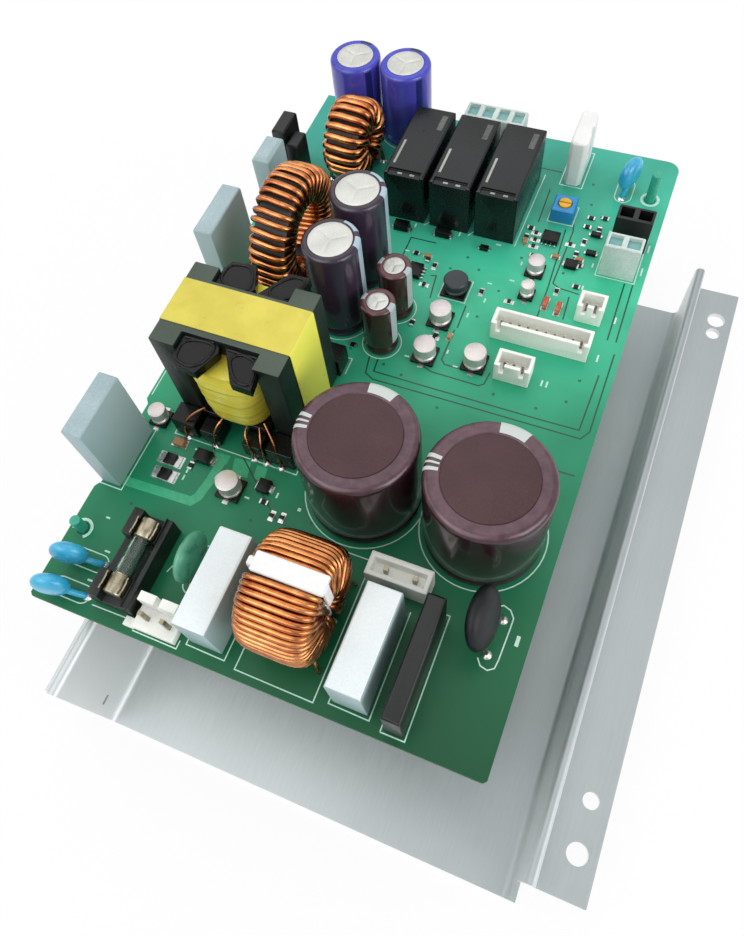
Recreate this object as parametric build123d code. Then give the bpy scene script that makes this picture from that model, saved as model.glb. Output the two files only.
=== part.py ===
"""Open frame power supply: a populated circuit board held over a folded aluminium tray.

Millimetres. X runs to the right, Y to the back, Z up. The origin is the centre of the
underside of the tray's floor. Parts on the board are drawn from the board's front left
corner, on its top face, and moved into place by on_board().
"""

import math
import os

from build123d import *

# tray, folded from one sheet
SHEET = 1.5
FLOOR_INSIDE = 120.0
TRAY_LENGTH = 196.0
LEFT_WALL = 38.5
RIGHT_WALL = 24.0
FLANGE_TOP = 15.2
FLANGE_OUT = 13.0
RIGHT_SET_BACK = 5.0
BEND = 2.0
BIG_HOLE = 5.4
SMALL_HOLE = 4.2
HOLE_X = FLOOR_INSIDE / 2 + 2 * SHEET + 8.0
BIG_HOLE_FRONT_Y = -TRAY_LENGTH / 2 + 15.8
BIG_HOLE_BACK_Y = TRAY_LENGTH / 2 - 11.6
SMALL_HOLE_FRONT_Y = -TRAY_LENGTH / 2 + 28.6
SMALL_HOLE_BACK_Y = TRAY_LENGTH / 2 - 17.2

# board and the pillars that carry it
BOARD_W = 121.0
BOARD_L = 194.5
BOARD_T = 1.6
PILLAR = 45.0
PILLAR_FLATS = 6.0
BOARD_X = -76.0
BOARD_Y = -78.5
BOARD_Z = SHEET + PILLAR + BOARD_T
PILLARS = [(x, y) for x in (24, BOARD_W - 13) for y in (12, 99, BOARD_L - 26.5)]
POSTS = [(3.6, 20.7, 5.4), (BOARD_W - 5.7, 177.0, 10.0)]
POST_R = 1.5
JOINT = 2.2

# the three wound rings stand on edge, axis along X: x, y, radius, width
RING_SMALL = (17.8, 163.6, 11.4, 12.0)
RING_LARGE = (19.2, 117.5, 17.9, 12.0)
CHOKE = (58.8, 20.2, 14.6, 19.2)
WIRE = 1.1
CHOKE_HOLE = 4.8
CHOKE_COPPER = 2.0
DIVIDER_DEGREES = 24.0

# fuse, lying along Y in its holder
FUSE_X = 24.4
FUSE_Y = 16.8
FUSE_Z = 7.2
FUSE_GLASS = 9.8
FUSE_END = 5.4

# where the coated legs of the discs meet the board
BLUE_ROWS = (12.7, 3.9)
REAR_DISC_FEET = [(106.9, 175.4), (107.2, 181.6)]
VARISTOR_FEET = [(38.4, 17.4), (39.2, 25.6)]

# the thermistor's legs come down midway between the rectifier and the board's edge
BRIDGE_X = 96.5
BRIDGE_T = 4.5
THERMISTOR_X = (BRIDGE_X + BRIDGE_T + BOARD_W) / 2
THERMISTOR_FEET = [(THERMISTOR_X + 1.4, 26.8), (THERMISTOR_X + 2.4, 36.0)]

# transformer
CORE_X = 14.5
CORE_Y = 61.5
CORE_W = 35.0
CORE_L = 25.0
CORE_BASE = 1.0
CORE_TOP = 35.5
PLATE = 5.5
TAPE = 0.25


def box(x, y, z, w, l, h):
    return Pos(x + w / 2, y + l / 2, z + h / 2) * Box(w, l, h)


def rod(x, y, z, r, h):
    return Pos(x, y, z + h / 2) * Cylinder(r, h)


def prism(x, y, z, r, h, sides):
    return Pos(x, y, z) * extrude(RegularPolygon(r, sides), amount=h)


def bar(a, b, r, sides=6):
    """A straight wire with a flat sided section from a to b."""
    a = Vector(*a)
    b = Vector(*b)
    face = Plane(a, z_dir=b - a) * RegularPolygon(r, sides)
    return extrude(face, amount=(b - a).length)


def bevel(shape, size, axis=Axis.Z, at=-1):
    """Bevel the edges round the last face met along the axis."""
    return chamfer(shape.faces().sort_by(axis)[at].edges(), size)


def on_board(shapes):
    place = Pos(BOARD_X, BOARD_Y, BOARD_Z)
    if not isinstance(shapes, (list, tuple)):
        shapes = [shapes]
    return [place * s for s in shapes]


def save(name, shapes):
    if not isinstance(shapes, (list, tuple)):
        shapes = [shapes]
    solids = [s for shape in shapes for s in shape.solids()]
    export_step(solids[0] if len(solids) == 1 else Compound(solids), f"parts/{name}.step")


def half_section(sign, wall):
    """Outline of one side of the tray, from the middle of the floor outwards."""
    inner = FLOOR_INSIDE / 2
    outer = inner + SHEET
    hem = outer + SHEET
    top = SHEET + wall
    tip = hem + FLANGE_OUT
    flange = SHEET + FLANGE_TOP
    out = BEND + SHEET

    def p(x, z):
        return (sign * x, z)

    def arc(a, b, centre, r):
        ax = a[0] - centre[0]
        az = a[1] - centre[1]
        bx = b[0] - centre[0]
        bz = b[1] - centre[1]
        mx = ax + bx
        mz = az + bz
        size = math.hypot(mx, mz)
        mid = (centre[0] + r * mx / size, centre[1] + r * mz / size)
        return ThreePointArc(p(*a), p(*mid), p(*b))

    bend = (outer - out, out)
    corner = (hem + 1.0, flange + 1.0)
    return [
        Line(p(0, 0), p(outer - out, 0)),
        arc((outer - out, 0), (outer, out), bend, out),
        Line(p(outer, out), p(outer, flange - SHEET)),
        Line(p(outer, flange - SHEET), p(tip, flange - SHEET)),
        Line(p(tip, flange - SHEET), p(tip, flange)),
        Line(p(tip, flange), p(hem + 1.0, flange)),
        arc((hem + 1.0, flange), (hem, flange + 1.0), corner, 1.0),
        Line(p(hem, flange + 1.0), p(hem, top - SHEET)),
        ThreePointArc(p(hem, top - SHEET), p(outer, top), p(inner, top - SHEET)),
        Line(p(inner, top - SHEET), p(inner, out)),
        arc((inner, out), (outer - out, SHEET), bend, BEND),
        Line(p(outer - out, SHEET), p(0, SHEET)),
    ]


def tray():
    """Floor, two walls folded back on themselves, and two side flanges with holes."""
    sides = []
    for sign, wall in ((-1, LEFT_WALL), (1, RIGHT_WALL)):
        lines = half_section(sign, wall)
        lines.append(Line((0, SHEET), (0, 0)))
        face = Plane.XZ * make_face(lines)
        sides.append(extrude(face, amount=TRAY_LENGTH / 2, both=True))
    sheet = sides[0] + sides[1]
    for side in (-1, 1):
        x = side * HOLE_X
        for y, d in (
            (BIG_HOLE_FRONT_Y, BIG_HOLE),
            (BIG_HOLE_BACK_Y, BIG_HOLE),
            (SMALL_HOLE_FRONT_Y, SMALL_HOLE),
            (SMALL_HOLE_BACK_Y, SMALL_HOLE),
        ):
            sheet -= rod(x, y, FLANGE_TOP - 2, d / 2, SHEET + 6)
    front = TRAY_LENGTH / 2 - RIGHT_SET_BACK
    sheet -= box(FLOOR_INSIDE / 2, -front - 10, BEND + SHEET, 30, 10, 60)
    slot = box(-FLOOR_INSIDE / 2 - 4, -TRAY_LENGTH / 2 + 3, 12.0, 8, 2.8, 1.3)
    return sheet - slot


def pillars():
    """Hexagonal pillars clinched into the floor, ending flat under the board."""
    made = []
    hexagon = RegularPolygon(PILLAR_FLATS / 2, 6, major_radius=False)
    for x, y in PILLARS:
        foot = Pos(BOARD_X + x, BOARD_Y + y, SHEET)
        made.append(foot * extrude(hexagon, amount=PILLAR))
    return made


def board():
    outline = [
        (0, 0),
        (BOARD_W, 0),
        (BOARD_W, BOARD_L),
        (0, BOARD_L),
        (0, 62),
        (1.2, 60.5),
        (1.2, 34.5),
        (0, 32.5),
    ]
    face = make_face(Polyline(*outline, close=True))
    plate = Pos(0, 0, -BOARD_T) * extrude(face, amount=BOARD_T)
    uprights = plate.edges().filter_by(Axis.Z)
    rear_right = uprights.group_by(Axis.Y)[-1].sort_by(Axis.X)[-1]
    plate = fillet([rear_right], 4.0)
    front = plate.edges().filter_by(Axis.Z).group_by(Axis.Y)[0]
    plate = chamfer(front, 0.8)
    for x, y, _ in POSTS:
        plate -= rod(x, y, -3, POST_R + 0.2, 6)
    return plate


def posts():
    """Nylon posts through the board, each with a hexagonal foot under it."""
    made = []
    for x, y, h in POSTS:
        foot = extrude(RegularPolygon(2.6, 6, major_radius=False), amount=7)
        post = extrude(RegularPolygon(POST_R, 16), amount=BOARD_T + h)
        made.append(Pos(x, y, -BOARD_T - 7) * foot + Pos(x, y, -BOARD_T) * post)
    return made


def can(x, y, d, h, disc, edge):
    """A sleeved can and the round disc in the middle of its top."""
    sleeve = bevel(prism(x, y, 0, d / 2, h, 36 if d > 20 else 28), edge)
    return sleeve, prism(x, y, h, disc / 2, 0.12, 16)


CANS = {
    "rear_cap": ([(16.8, 184.4), (33.4, 185.0)], 15.9, 25.0, 11.2, 0.8),
    "middle_cap": ([(42.5, 125.2), (42.4, 106.8)], 15.8, 31.5, 12.4, 0.8),
    "small_cap": ([(56.8, 101.4), (56.6, 114.2)], 9.7, 18.5, 6.2, 0.8),
    "bulk_cap": ([(70.2, 56.2), (101.9, 56.0)], 29.8, 30.0, 21.8, 1.6),
}


def can_lead_places():
    made = []
    for places, d, _, _, _ in CANS.values():
        pitch = 10.0 if d > 20 else 0.5 * d
        for x, y in places:
            made += [(x - pitch / 2, y), (x + pitch / 2, y)]
    return made


def turn_face(width, r_in, r_out, wire, corner):
    """Section of a wound ring's copper, drawn across the ring with its outer corners cut."""
    w = width / 2
    outer = [
        (-w, r_in),
        (-w, r_out - corner),
        (-w + corner, r_out),
        (w - corner, r_out),
        (w, r_out - corner),
        (w, r_in),
    ]
    inner = [
        (-w + wire, r_in + wire),
        (-w + wire, r_out - wire),
        (w - wire, r_out - wire),
        (w - wire, r_in + wire),
    ]
    outside = make_face(Polyline(*outer, close=True))
    return Plane.XZ * (outside - make_face(Polyline(*inner, close=True)))


def frame_turn(width, r_in, r_out, wire):
    """One turn of flat sided wire round a ring's section, at the top of a ring about X."""
    face = turn_face(width, r_in, r_out, wire, wire * 0.9)
    return extrude(face, amount=wire / 2, both=True)


def ring_core(ring, wire, hole_r, gap=0.15):
    x, y, r, width = ring
    outer = r - wire - gap
    face = RegularPolygon(outer, 28) - RegularPolygon(hole_r + wire + gap, 28, major_radius=False)
    body = extrude(face, amount=width / 2 - wire - gap, both=True)
    return Pos(x + width / 2, y, r) * Rot(0, 90, 0) * body


def ring_turns(ring, wire, hole_r, first, last, count):
    x, y, r, width = ring
    turn = frame_turn(width, hole_r, r, wire)
    made = []
    for i in range(count):
        angle = first + (last - first) * i / (count - 1)
        made.append(Pos(x + width / 2, y, r) * Rot(angle, 0, 0) * turn)
    return made


def ring_legs(ring, spread):
    """Wire ends that come down beside the ring to the board."""
    x, y, r, width = ring
    made = []
    for px, py in ((x - 0.7, y - spread), (x + width + 0.7, y + spread)):
        made.append(bar((px, py, 0), (px, py, r * 0.45), WIRE / 2))
    return made


def wedge(degrees, reach):
    """A flat sided wedge about X, widest at the top."""
    half = math.radians(degrees / 2)
    y = reach * math.tan(half)
    face = make_face(Polyline((0, 0), (-y, reach), (y, reach), close=True))
    return extrude(Plane.YZ * face, amount=30, both=True)


def choke_winding(first, count, step):
    """Close turns, each cut as a wedge so that they stay side by side in the hole."""
    x, y, r, width = CHOKE
    face = turn_face(width, CHOKE_HOLE, r, CHOKE_COPPER, 3.0)
    turn = extrude(face, amount=4, both=True) & wedge(step * 0.86, r + 2)
    middle = Pos(x + width / 2, y, r)
    return [middle * Rot(first + i * step, 0, 0) * turn for i in range(count)]


def choke_core():
    x, y, r, width = CHOKE
    outer = r - CHOKE_COPPER - 0.3
    inner = CHOKE_HOLE + CHOKE_COPPER + 0.15
    ring = RegularPolygon(outer, 24) - RegularPolygon(inner, 24, major_radius=False)
    body = extrude(ring, amount=width / 2 - CHOKE_COPPER - 0.15, both=True)
    return Pos(x + width / 2, y, r) * Rot(0, 90, 0) * body


def choke_divider():
    """White bands that part the two windings, over the top and under the ring."""
    x, y, r, width = CHOKE
    inside = width / 2 - CHOKE_COPPER
    low = CHOKE_HOLE - 0.4
    made = []
    for flip, high in ((Rot(0, 0, 0), r + 0.3), (Rot(180, 0, 0), r)):
        band = box(-width / 2 - 0.5, -2.6, low, width + 1.0, 5.2, high - low)
        band -= box(-inside, -3, low + 0.8, 2 * inside, 6, r - CHOKE_COPPER - low - 0.8)
        band &= wedge(DIVIDER_DEGREES, r + 2)
        made.append(Pos(x + width / 2, y, r) * flip * band)
    return made


def transformer_core():
    cx = CORE_X + CORE_W / 2
    cy = CORE_Y + CORE_L / 2
    height = CORE_TOP - CORE_BASE
    body = box(CORE_X, CORE_Y, CORE_BASE, CORE_W, CORE_L, height)
    window = height - 2 * PLATE
    room = prism(cx, cy, CORE_BASE + PLATE, 14.2, window, 24)
    room += box(cx - 11, CORE_Y - 1, CORE_BASE + PLATE, 22, CORE_L + 2, window)
    room -= prism(cx, cy, CORE_BASE + PLATE, 7.0, window, 16)
    body -= room
    for y in (CORE_Y - 1, CORE_Y + CORE_L - 4.5):
        body -= box(cx - 10.5, y, 0, 21, 5.5, CORE_TOP + 1)
    return body


def transformer_winding():
    cx = CORE_X + CORE_W / 2
    cy = CORE_Y + CORE_L / 2
    low = 8.5
    body = prism(cx, cy, low, 13.9, 19.6, 24)
    filling = box(cx - 10.2, CORE_Y - 2.0, low, 20.4, CORE_L + 4.0, 19.6)
    body += chamfer(filling.edges().filter_by(Axis.Z), 2.4)
    return body - prism(cx, cy, low - 1, 7.6, 30, 16)


WINGS = [
    [(-10.3, 65.4), (-10.3, 63.2), (-5.4, 58.6), (-0.8, 64.2), (-0.8, 65.4)],
    [(0.8, 65.4), (9.0, 59.2), (10.3, 61.6), (10.3, 65.4)],
]


def transformer_bobbin():
    """Flanges above and below the winding, wings at the top and pin rails at the foot."""
    cx = CORE_X + CORE_W / 2
    cy = CORE_Y + CORE_L / 2
    low = CORE_BASE + PLATE + 0.1
    high = CORE_TOP - PLATE - 0.1
    bore = prism(cx, cy, 0, 7.2, 40, 16)
    top = prism(cx, cy, 28.1, 14.0, high - 28.1, 24) - bore
    bottom = prism(cx, cy, low, 14.0, 8.5 - low, 24) - bore
    for front in (True, False):
        for points in WINGS:
            way = 1 if front else -1
            flap = [(cx + x, cy + way * (y - cy)) for x, y in points]
            top += Pos(0, 0, 28.1) * extrude(make_face(Polyline(*flap, close=True)), amount=4.6)
        rail_y = CORE_Y - 6.6 if front else CORE_Y + CORE_L + 0.2
        foot_y = rail_y if front else rail_y - 5.4
        bottom += box(cx - 10.3, foot_y, low, 20.6, 11.8, 8.5 - low)
        bottom += box(CORE_X - 0.5, rail_y, 0.6, CORE_W + 1, 6.4, 5.4)
        bottom += box(cx - 10.3, rail_y, 5.5, 20.6, 6.4, 2.0)
    return [top, bottom]


def transformer_tape():
    """A band of tape over the top of the core and down both ends."""
    y = CORE_Y + 6.3
    height = CORE_TOP - CORE_BASE + TAPE
    outer = box(CORE_X - TAPE, y, CORE_BASE, CORE_W + 2 * TAPE, 12.9, height)
    return outer - box(CORE_X, y - 1, 0, CORE_W, 15, CORE_TOP)


def transformer_pin_places():
    made = []
    for y in (CORE_Y - 3.4, CORE_Y + CORE_L + 3.4):
        made += [(CORE_X + 3.0 + 5.8 * i, y) for i in range(6)]
    return made


def transformer_leads():
    """Copper ends from the winding down to the pins."""
    made = []
    front = CORE_Y - 6.6 - 0.4
    for i, x in enumerate((17.5, 23.3, 29.1, 34.9, 40.7, 46.5)):
        pull = (CORE_X + CORE_W / 2 - x) * 0.45
        made.append(bar((x, front, 0.5), (x + pull, front, 8.6), 0.38, 5))
    return made


def relays():
    made = []
    for i in range(3):
        x = 40.25 + 14.22 * i
        body = box(x, 147.6, 0, 12.4, 29.5, 17.7)
        body = bevel(body, 0.5)
        body -= box(x + 1.2, 147, 16.9, 10.0, 2.8, 2)
        made.append(body)
    return made


def block(x, y, w, l, h, edge=0.4):
    return bevel(box(x, y, 0, w, l, h), edge)


def film_caps():
    return [
        block(1.4, 34.8, 5.7, 18.4, 27.0),
        block(2.4, 102.2, 5.8, 18.5, 27.0),
        block(2.3, 137.0, 5.7, 10.8, 22.0, 1.0),
    ]


def line_filter_caps():
    return [block(45.2, 4.3, 8.7, 25.2, 16.8), block(83.0, 3.9, 8.7, 25.2, 17.4)]


def rear_blocks():
    return [block(1.4, 152.0, 4.4, 9.6, 19.5), block(6.4, 150.6, 4.0, 6.8, 16.5)]


def fuse_holder():
    body = box(17.6, 4.6, 0, 11.8, 24.4, 3.2)
    body += box(28.0, 4.6, 3.2, 1.4, 24.4, 3.8)
    for y in (4.6, 21.6):
        body += box(18.2, y, 3.2, 9.8, 7.4, 4.6)
        body -= box(FUSE_X - 3.2, y - 1, 4.0, 6.4, 9.4, 5.0)
    return body


def fuse():
    """Glass tube between two metal end caps, lying along Y, with a clip under each cap."""
    lay = Rot(90, 0, 0)
    tube = extrude(RegularPolygon(2.4, 20), amount=FUSE_GLASS / 2, both=True)
    end = extrude(RegularPolygon(2.6, 20), amount=FUSE_END / 2, both=True)
    made = {"fuse_glass": Pos(FUSE_X, FUSE_Y, FUSE_Z) * lay * tube}
    ends = []
    clips = []
    for sign in (-1, 1):
        y = FUSE_Y + sign * (FUSE_GLASS + FUSE_END) / 2
        ends.append(Pos(FUSE_X, y, FUSE_Z) * lay * end)
        clip = box(FUSE_X - 3.1, y - 2, 4.0, 6.2, 4.0, 5.4)
        clips.append(clip - box(FUSE_X - 2.7, y - 3, 4.4, 5.4, 6, 6))
    made["fuse_ends"] = ends
    made["fuse_clips"] = clips
    return made


def disc_cap(x, y, z, d, t, turn, legs):
    """A coated disc part on edge with two coated legs that reach the board."""
    body = extrude(RegularPolygon(d / 2, 14), amount=t / 2, both=True)
    flats = body.faces().filter_by(Axis.Z)
    body = chamfer(flats.edges(), t * 0.28)
    body = Pos(x, y, z) * turn * body
    for start, foot in legs:
        body += bar(start, foot, 0.55, 4)
    return body


def blue_discs():
    made = []
    for y in BLUE_ROWS:
        legs = [
            ((11.2, y, 3.0), (14.4, y + 0.9, 0.35)),
            ((5.4, y, 3.0), (4.6, y + 0.9, 0.35)),
        ]
        made.append(disc_cap(8.2, y, 5.9, 9.0, 3.6, Rot(90, 0, 0), legs))
    front, back = REAR_DISC_FEET
    y = 178.5
    legs = [((107.6, y - 1.9, 3.4), (*front, 0.4)), ((107.6, y + 1.9, 3.4), (*back, 0.4))]
    made.append(disc_cap(107.6, y, 6.4, 8.4, 3.6, Rot(0, 90, 0), legs))
    return made


def varistor():
    front, back = VARISTOR_FEET
    legs = [((38.8, 18.2, 3.6), (*front, 0.3)), ((38.8, 25.0, 3.6), (*back, 0.3))]
    return disc_cap(38.8, 21.6, 8.8, 13.6, 3.8, Rot(0, 90, 0), legs)


def thermistor():
    front, back = THERMISTOR_FEET
    legs = [((111.4, 28.4, 6.4), (*front, 0.4)), ((111.4, 33.6, 6.4), (*back, 0.4))]
    return disc_cap(109.4, 31.2, 12.4, 15.4, 4.6, Rot(0, 72, 0), legs)


def bridge_rectifier():
    body = box(BRIDGE_X, 2.3, 0, BRIDGE_T, 29.0, 17.2)
    return bevel(body, 0.4)


def cement_resistor():
    body = box(88.5, 176.0, 0, 5.2, 15.0, 15.8)
    body = chamfer(body.edges().filter_by(Axis.Z), 1.0)
    body = bevel(body, 0.5)
    return body - box(93.2, 181.5, 5.5, 1, 3.2, 12)


def trimmer():
    body = block(88.7, 160.3, 6.8, 6.8, 4.6, 0.3)
    seat = rod(92.1, 163.7, 3.4, 2.2, 3)
    rotor = rod(92.1, 163.7, 3.4, 1.9, 1.5)
    rotor -= box(90.0, 163.4, 4.3, 4.2, 0.6, 1)
    return body - seat, rotor


def mains_wafer():
    body = box(30.4, 2.0, 0, 11.6, 8.0, 2.6)
    body += box(31.4, 7.6, 2.6, 10.4, 2.4, 6.2)
    body += box(27.6, 1.8, 0, 2.8, 2.4, 1.6)
    return body - box(35.9, 7.0, 5.6, 1.4, 4, 4)


def link_wafer():
    body = box(79.6, 32.9, 0, 15.8, 6.1, 8.4)
    body -= box(78.6, 34.2, 5.2, 17.8, 3.3, 5)
    body += box(79.6, 34.2, 5.2, 1.2, 3.3, 3.2)
    return body + box(94.2, 34.2, 5.2, 1.2, 3.3, 3.2)


HEADERS = [(85.1, 112.7), (90.1, 99.7), (105.6, 125.6)]
PITCH = 2.5


def headers():
    """Place and number of ways of each small header."""
    return [(x, y, ways) for (x, y), ways in zip(HEADERS, (10, 3, 2))]


def small_headers():
    """Open topped headers, as long as their ways ask for."""
    made = []
    for x, y, ways in headers():
        w = PITCH * (ways - 1) + 4.9
        body = box(x, y, 0, w, 5.75, 7.0)
        body -= box(x + 0.9, y + 1.1, 2.2, w - 1.8, 3.75, 6)
        body -= box(x + 1.6, y - 1, 3.6, 1.2, 3, 4)
        body -= box(x + w - 2.8, y - 1, 3.6, 1.2, 3, 4)
        made.append(body)
    return made


def header_pin_places():
    made = []
    for x, y, ways in headers():
        made += [(x + 2.45 + PITCH * i, y + 2.9, 2.2, 5.6) for i in range(ways)]
    made += [(33.6, 5.0, 2.6, 8.4), (39.6, 5.0, 2.6, 8.4)]
    made += [(84.2, 35.8, 5.2, 8.0), (91.6, 35.8, 5.2, 8.0)]
    return made


def header_pins():
    made = []
    for x, y, low, high in header_pin_places():
        side = 0.64 if high < 6 else 1.1
        made.append(box(x - side / 2, y - side / 2, low, side, side, high - low))
    return made


def cell_header(x, y, w, l, h, cells):
    """A square shouldered header with one row of open cells in its top."""
    body = block(x, y, w, l, h, 0.3)
    pitch = w / cells
    for i in range(cells):
        body -= box(x + i * pitch + 0.8, y + 0.9, h - 7, pitch - 1.6, l - 1.8, 8)
    return body


def power_headers():
    return {
        "black_power_header": cell_header(108.0, 155.2, 10.4, 5.4, 12.0, 2),
        "white_power_header": cell_header(107.6, 144.0, 10.2, 5.6, 12.0, 2),
        "rear_header": cell_header(52.6, 184.6, 19.4, 6.6, 11.0, 4),
    }


SURFACE_CANS = [
    (70.0, 114.1, 6.3, 5.8),
    (70.0, 101.1, 6.3, 5.8),
    (84.0, 102.9, 6.3, 5.8),
    (36.3, 44.4, 6.3, 5.8),
    (90.4, 139.5, 5.0, 5.2),
    (90.6, 130.4, 4.0, 5.0),
    (7.6, 57.4, 5.0, 5.2),
]


def surface_cans():
    bodies = []
    bases = []
    for x, y, d, h in SURFACE_CANS:
        side = d + 0.4
        bases.append(box(x - side / 2, y - side / 2, 0, side, side, 0.9))
        bodies.append(Pos(x, y, 0.9) * extrude(RegularPolygon(d / 2, 18), amount=h - 0.9))
    return bodies, bases


def surface_inductor():
    drum = extrude(RegularPolygon(3.6, 20), amount=4.0)
    return box(66.8, 122.4, 0, 7.4, 7.4, 0.8) + Pos(70.5, 126.1, 0.8) * drum


CHIPS = [
    (91.3, 152.8, 5.0, 4.0, 1.6),
    (56.9, 128.6, 4.0, 5.0, 1.6),
    (46.8, 143.9, 4.6, 2.8, 2.2),
    (59.9, 145.0, 4.6, 2.8, 2.2),
    (25.2, 50.2, 4.6, 3.6, 2.2),
    (44.6, 47.9, 3.4, 3.6, 1.8),
    (104.0, 150.6, 2.9, 1.6, 1.1),
    (103.6, 158.0, 2.9, 1.6, 1.1),
    (73.6, 143.2, 2.6, 1.6, 1.1),
    (99.6, 144.6, 3.6, 3.0, 1.4),
]


def chips():
    bodies = []
    legs = []
    for x, y, w, l, h in CHIPS:
        bodies.append(box(x - w / 2, y - l / 2, 0.15, w, l, h))
        if l >= 4:
            for i in range(4):
                along = -1.9 + 1.27 * i
                if w > l:
                    legs.append(box(x + along - 0.2, y - l / 2 - 1.0, 0, 0.4, 1.0, 0.7))
                    legs.append(box(x + along - 0.2, y + l / 2, 0, 0.4, 1.0, 0.7))
                else:
                    legs.append(box(x - w / 2 - 1.0, y + along - 0.2, 0, 1.0, 0.4, 0.7))
                    legs.append(box(x + w / 2, y + along - 0.2, 0, 1.0, 0.4, 0.7))
        else:
            legs.append(box(x - w / 2 - 0.6, y - l * 0.3, 0, 0.6, l * 0.6, h * 0.5))
            legs.append(box(x + w / 2, y - l * 0.3, 0, 0.6, l * 0.6, h * 0.5))
    return bodies, legs


RESISTORS = [
    (16.4, 46.8, 6.3, 3.2, 0.7),
    (17.0, 42.2, 6.3, 3.2, 0.7),
    (87.2, 148.6, 2.0, 1.2, 0.5),
    (87.0, 151.2, 2.0, 1.2, 0.5),
    (86.6, 153.8, 2.0, 1.2, 0.5),
    (97.4, 152.4, 2.0, 1.2, 0.5),
    (101.0, 154.6, 1.2, 2.0, 0.5),
    (98.4, 134.2, 1.2, 2.0, 0.5),
    (61.6, 132.6, 1.2, 2.0, 0.5),
    (61.0, 124.8, 2.0, 1.2, 0.5),
    (78.0, 127.4, 1.2, 2.0, 0.5),
    (70.4, 107.6, 2.0, 1.2, 0.5),
    (86.6, 126.4, 2.0, 1.2, 0.5),
    (52.6, 41.6, 1.2, 2.0, 0.5),
    (49.8, 41.2, 1.2, 2.0, 0.5),
    (104.6, 122.0, 2.0, 1.2, 0.5),
]


def resistors():
    """Small square bodies, each standing on a tinned strip that shows at both ends."""
    bodies = []
    ends = []
    for x, y, w, l, h in RESISTORS:
        low = 0.25
        ends.append(box(x - w / 2, y - l / 2, 0, w, l, low))
        trim_x = 0.25 * w if w > l else 0.0
        trim_y = 0.25 * l if l > w else 0.0
        left = x - w / 2 + trim_x
        near = y - l / 2 + trim_y
        bodies.append(box(left, near, low, w - 2 * trim_x, l - 2 * trim_y, h))
    return bodies, ends


def chip_caps():
    made = [box(14.8, 51.1, 0, 3.2, 2.2, 1.4)]
    for x, y in ((84.4, 149.8), (74.4, 109.4)):
        made.append(box(x - 0.6, y - 1, 0, 1.2, 2.0, 0.9))
    for x, y in ((94.6, 146.6), (58.4, 135.4), (101.4, 147.4)):
        made.append(box(x - 1, y - 0.6, 0, 2.0, 1.2, 0.9))
    return made


def glass_diodes():
    tube = extrude(RegularPolygon(0.75, 8, major_radius=False), amount=1.7, both=True)
    places = [(96.6, 128.9), (100.5, 128.2)]
    return [Pos(x, y, 0.85) * Rot(90, 0, 0) * tube for x, y in places]


def joint_places():
    """The places where a lead comes through the board."""
    made = can_lead_places() + transformer_pin_places()
    made += [(x, y) for x, y, _, _ in header_pin_places()[10:]]
    for i in range(3):
        x = 40.25 + 14.22 * i
        made += [(x + a, 147.6 + b) for a, b in ((2.2, 3), (10.2, 3), (2.2, 26), (10.2, 26))]
    made += [(49.5, 7.5), (49.5, 26.5), (87.3, 7.0), (87.3, 26.2)]
    made += [(4.2, 38), (4.2, 50), (5.3, 105.5), (5.3, 117.5)]
    made += [(BRIDGE_X + 2.2, 5 + 7.6 * i) for i in range(4)]
    made += [(x, y + 0.9) for x in (14.4, 4.6) for y in BLUE_ROWS]
    made += REAR_DISC_FEET + VARISTOR_FEET + THERMISTOR_FEET
    made += [(59.5, 8.5), (59.5, 32), (77.5, 8.5), (77.5, 32)]
    made += [(FUSE_X, FUSE_Y - 10.2), (FUSE_X, FUSE_Y + 9.8)]
    return [(min(x, BOARD_W - JOINT), min(y, BOARD_L - JOINT)) for x, y in made]


def solder_joints():
    """Cut pyramids of solder under the board, with rows of small pins as one strip."""
    made = []
    for x, y in joint_places():
        cone = extrude(Rectangle(JOINT, JOINT), amount=1.5, taper=22)
        made.append(Pos(x, y, -BOARD_T) * Rot(180, 0, 0) * cone)
    x, y, ways = headers()[0]
    strip = box(x + 1.6, y + 2.2, -BOARD_T - 1.2, PITCH * ways - 0.8, 1.4, 1.2)
    return made + [strip]


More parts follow.
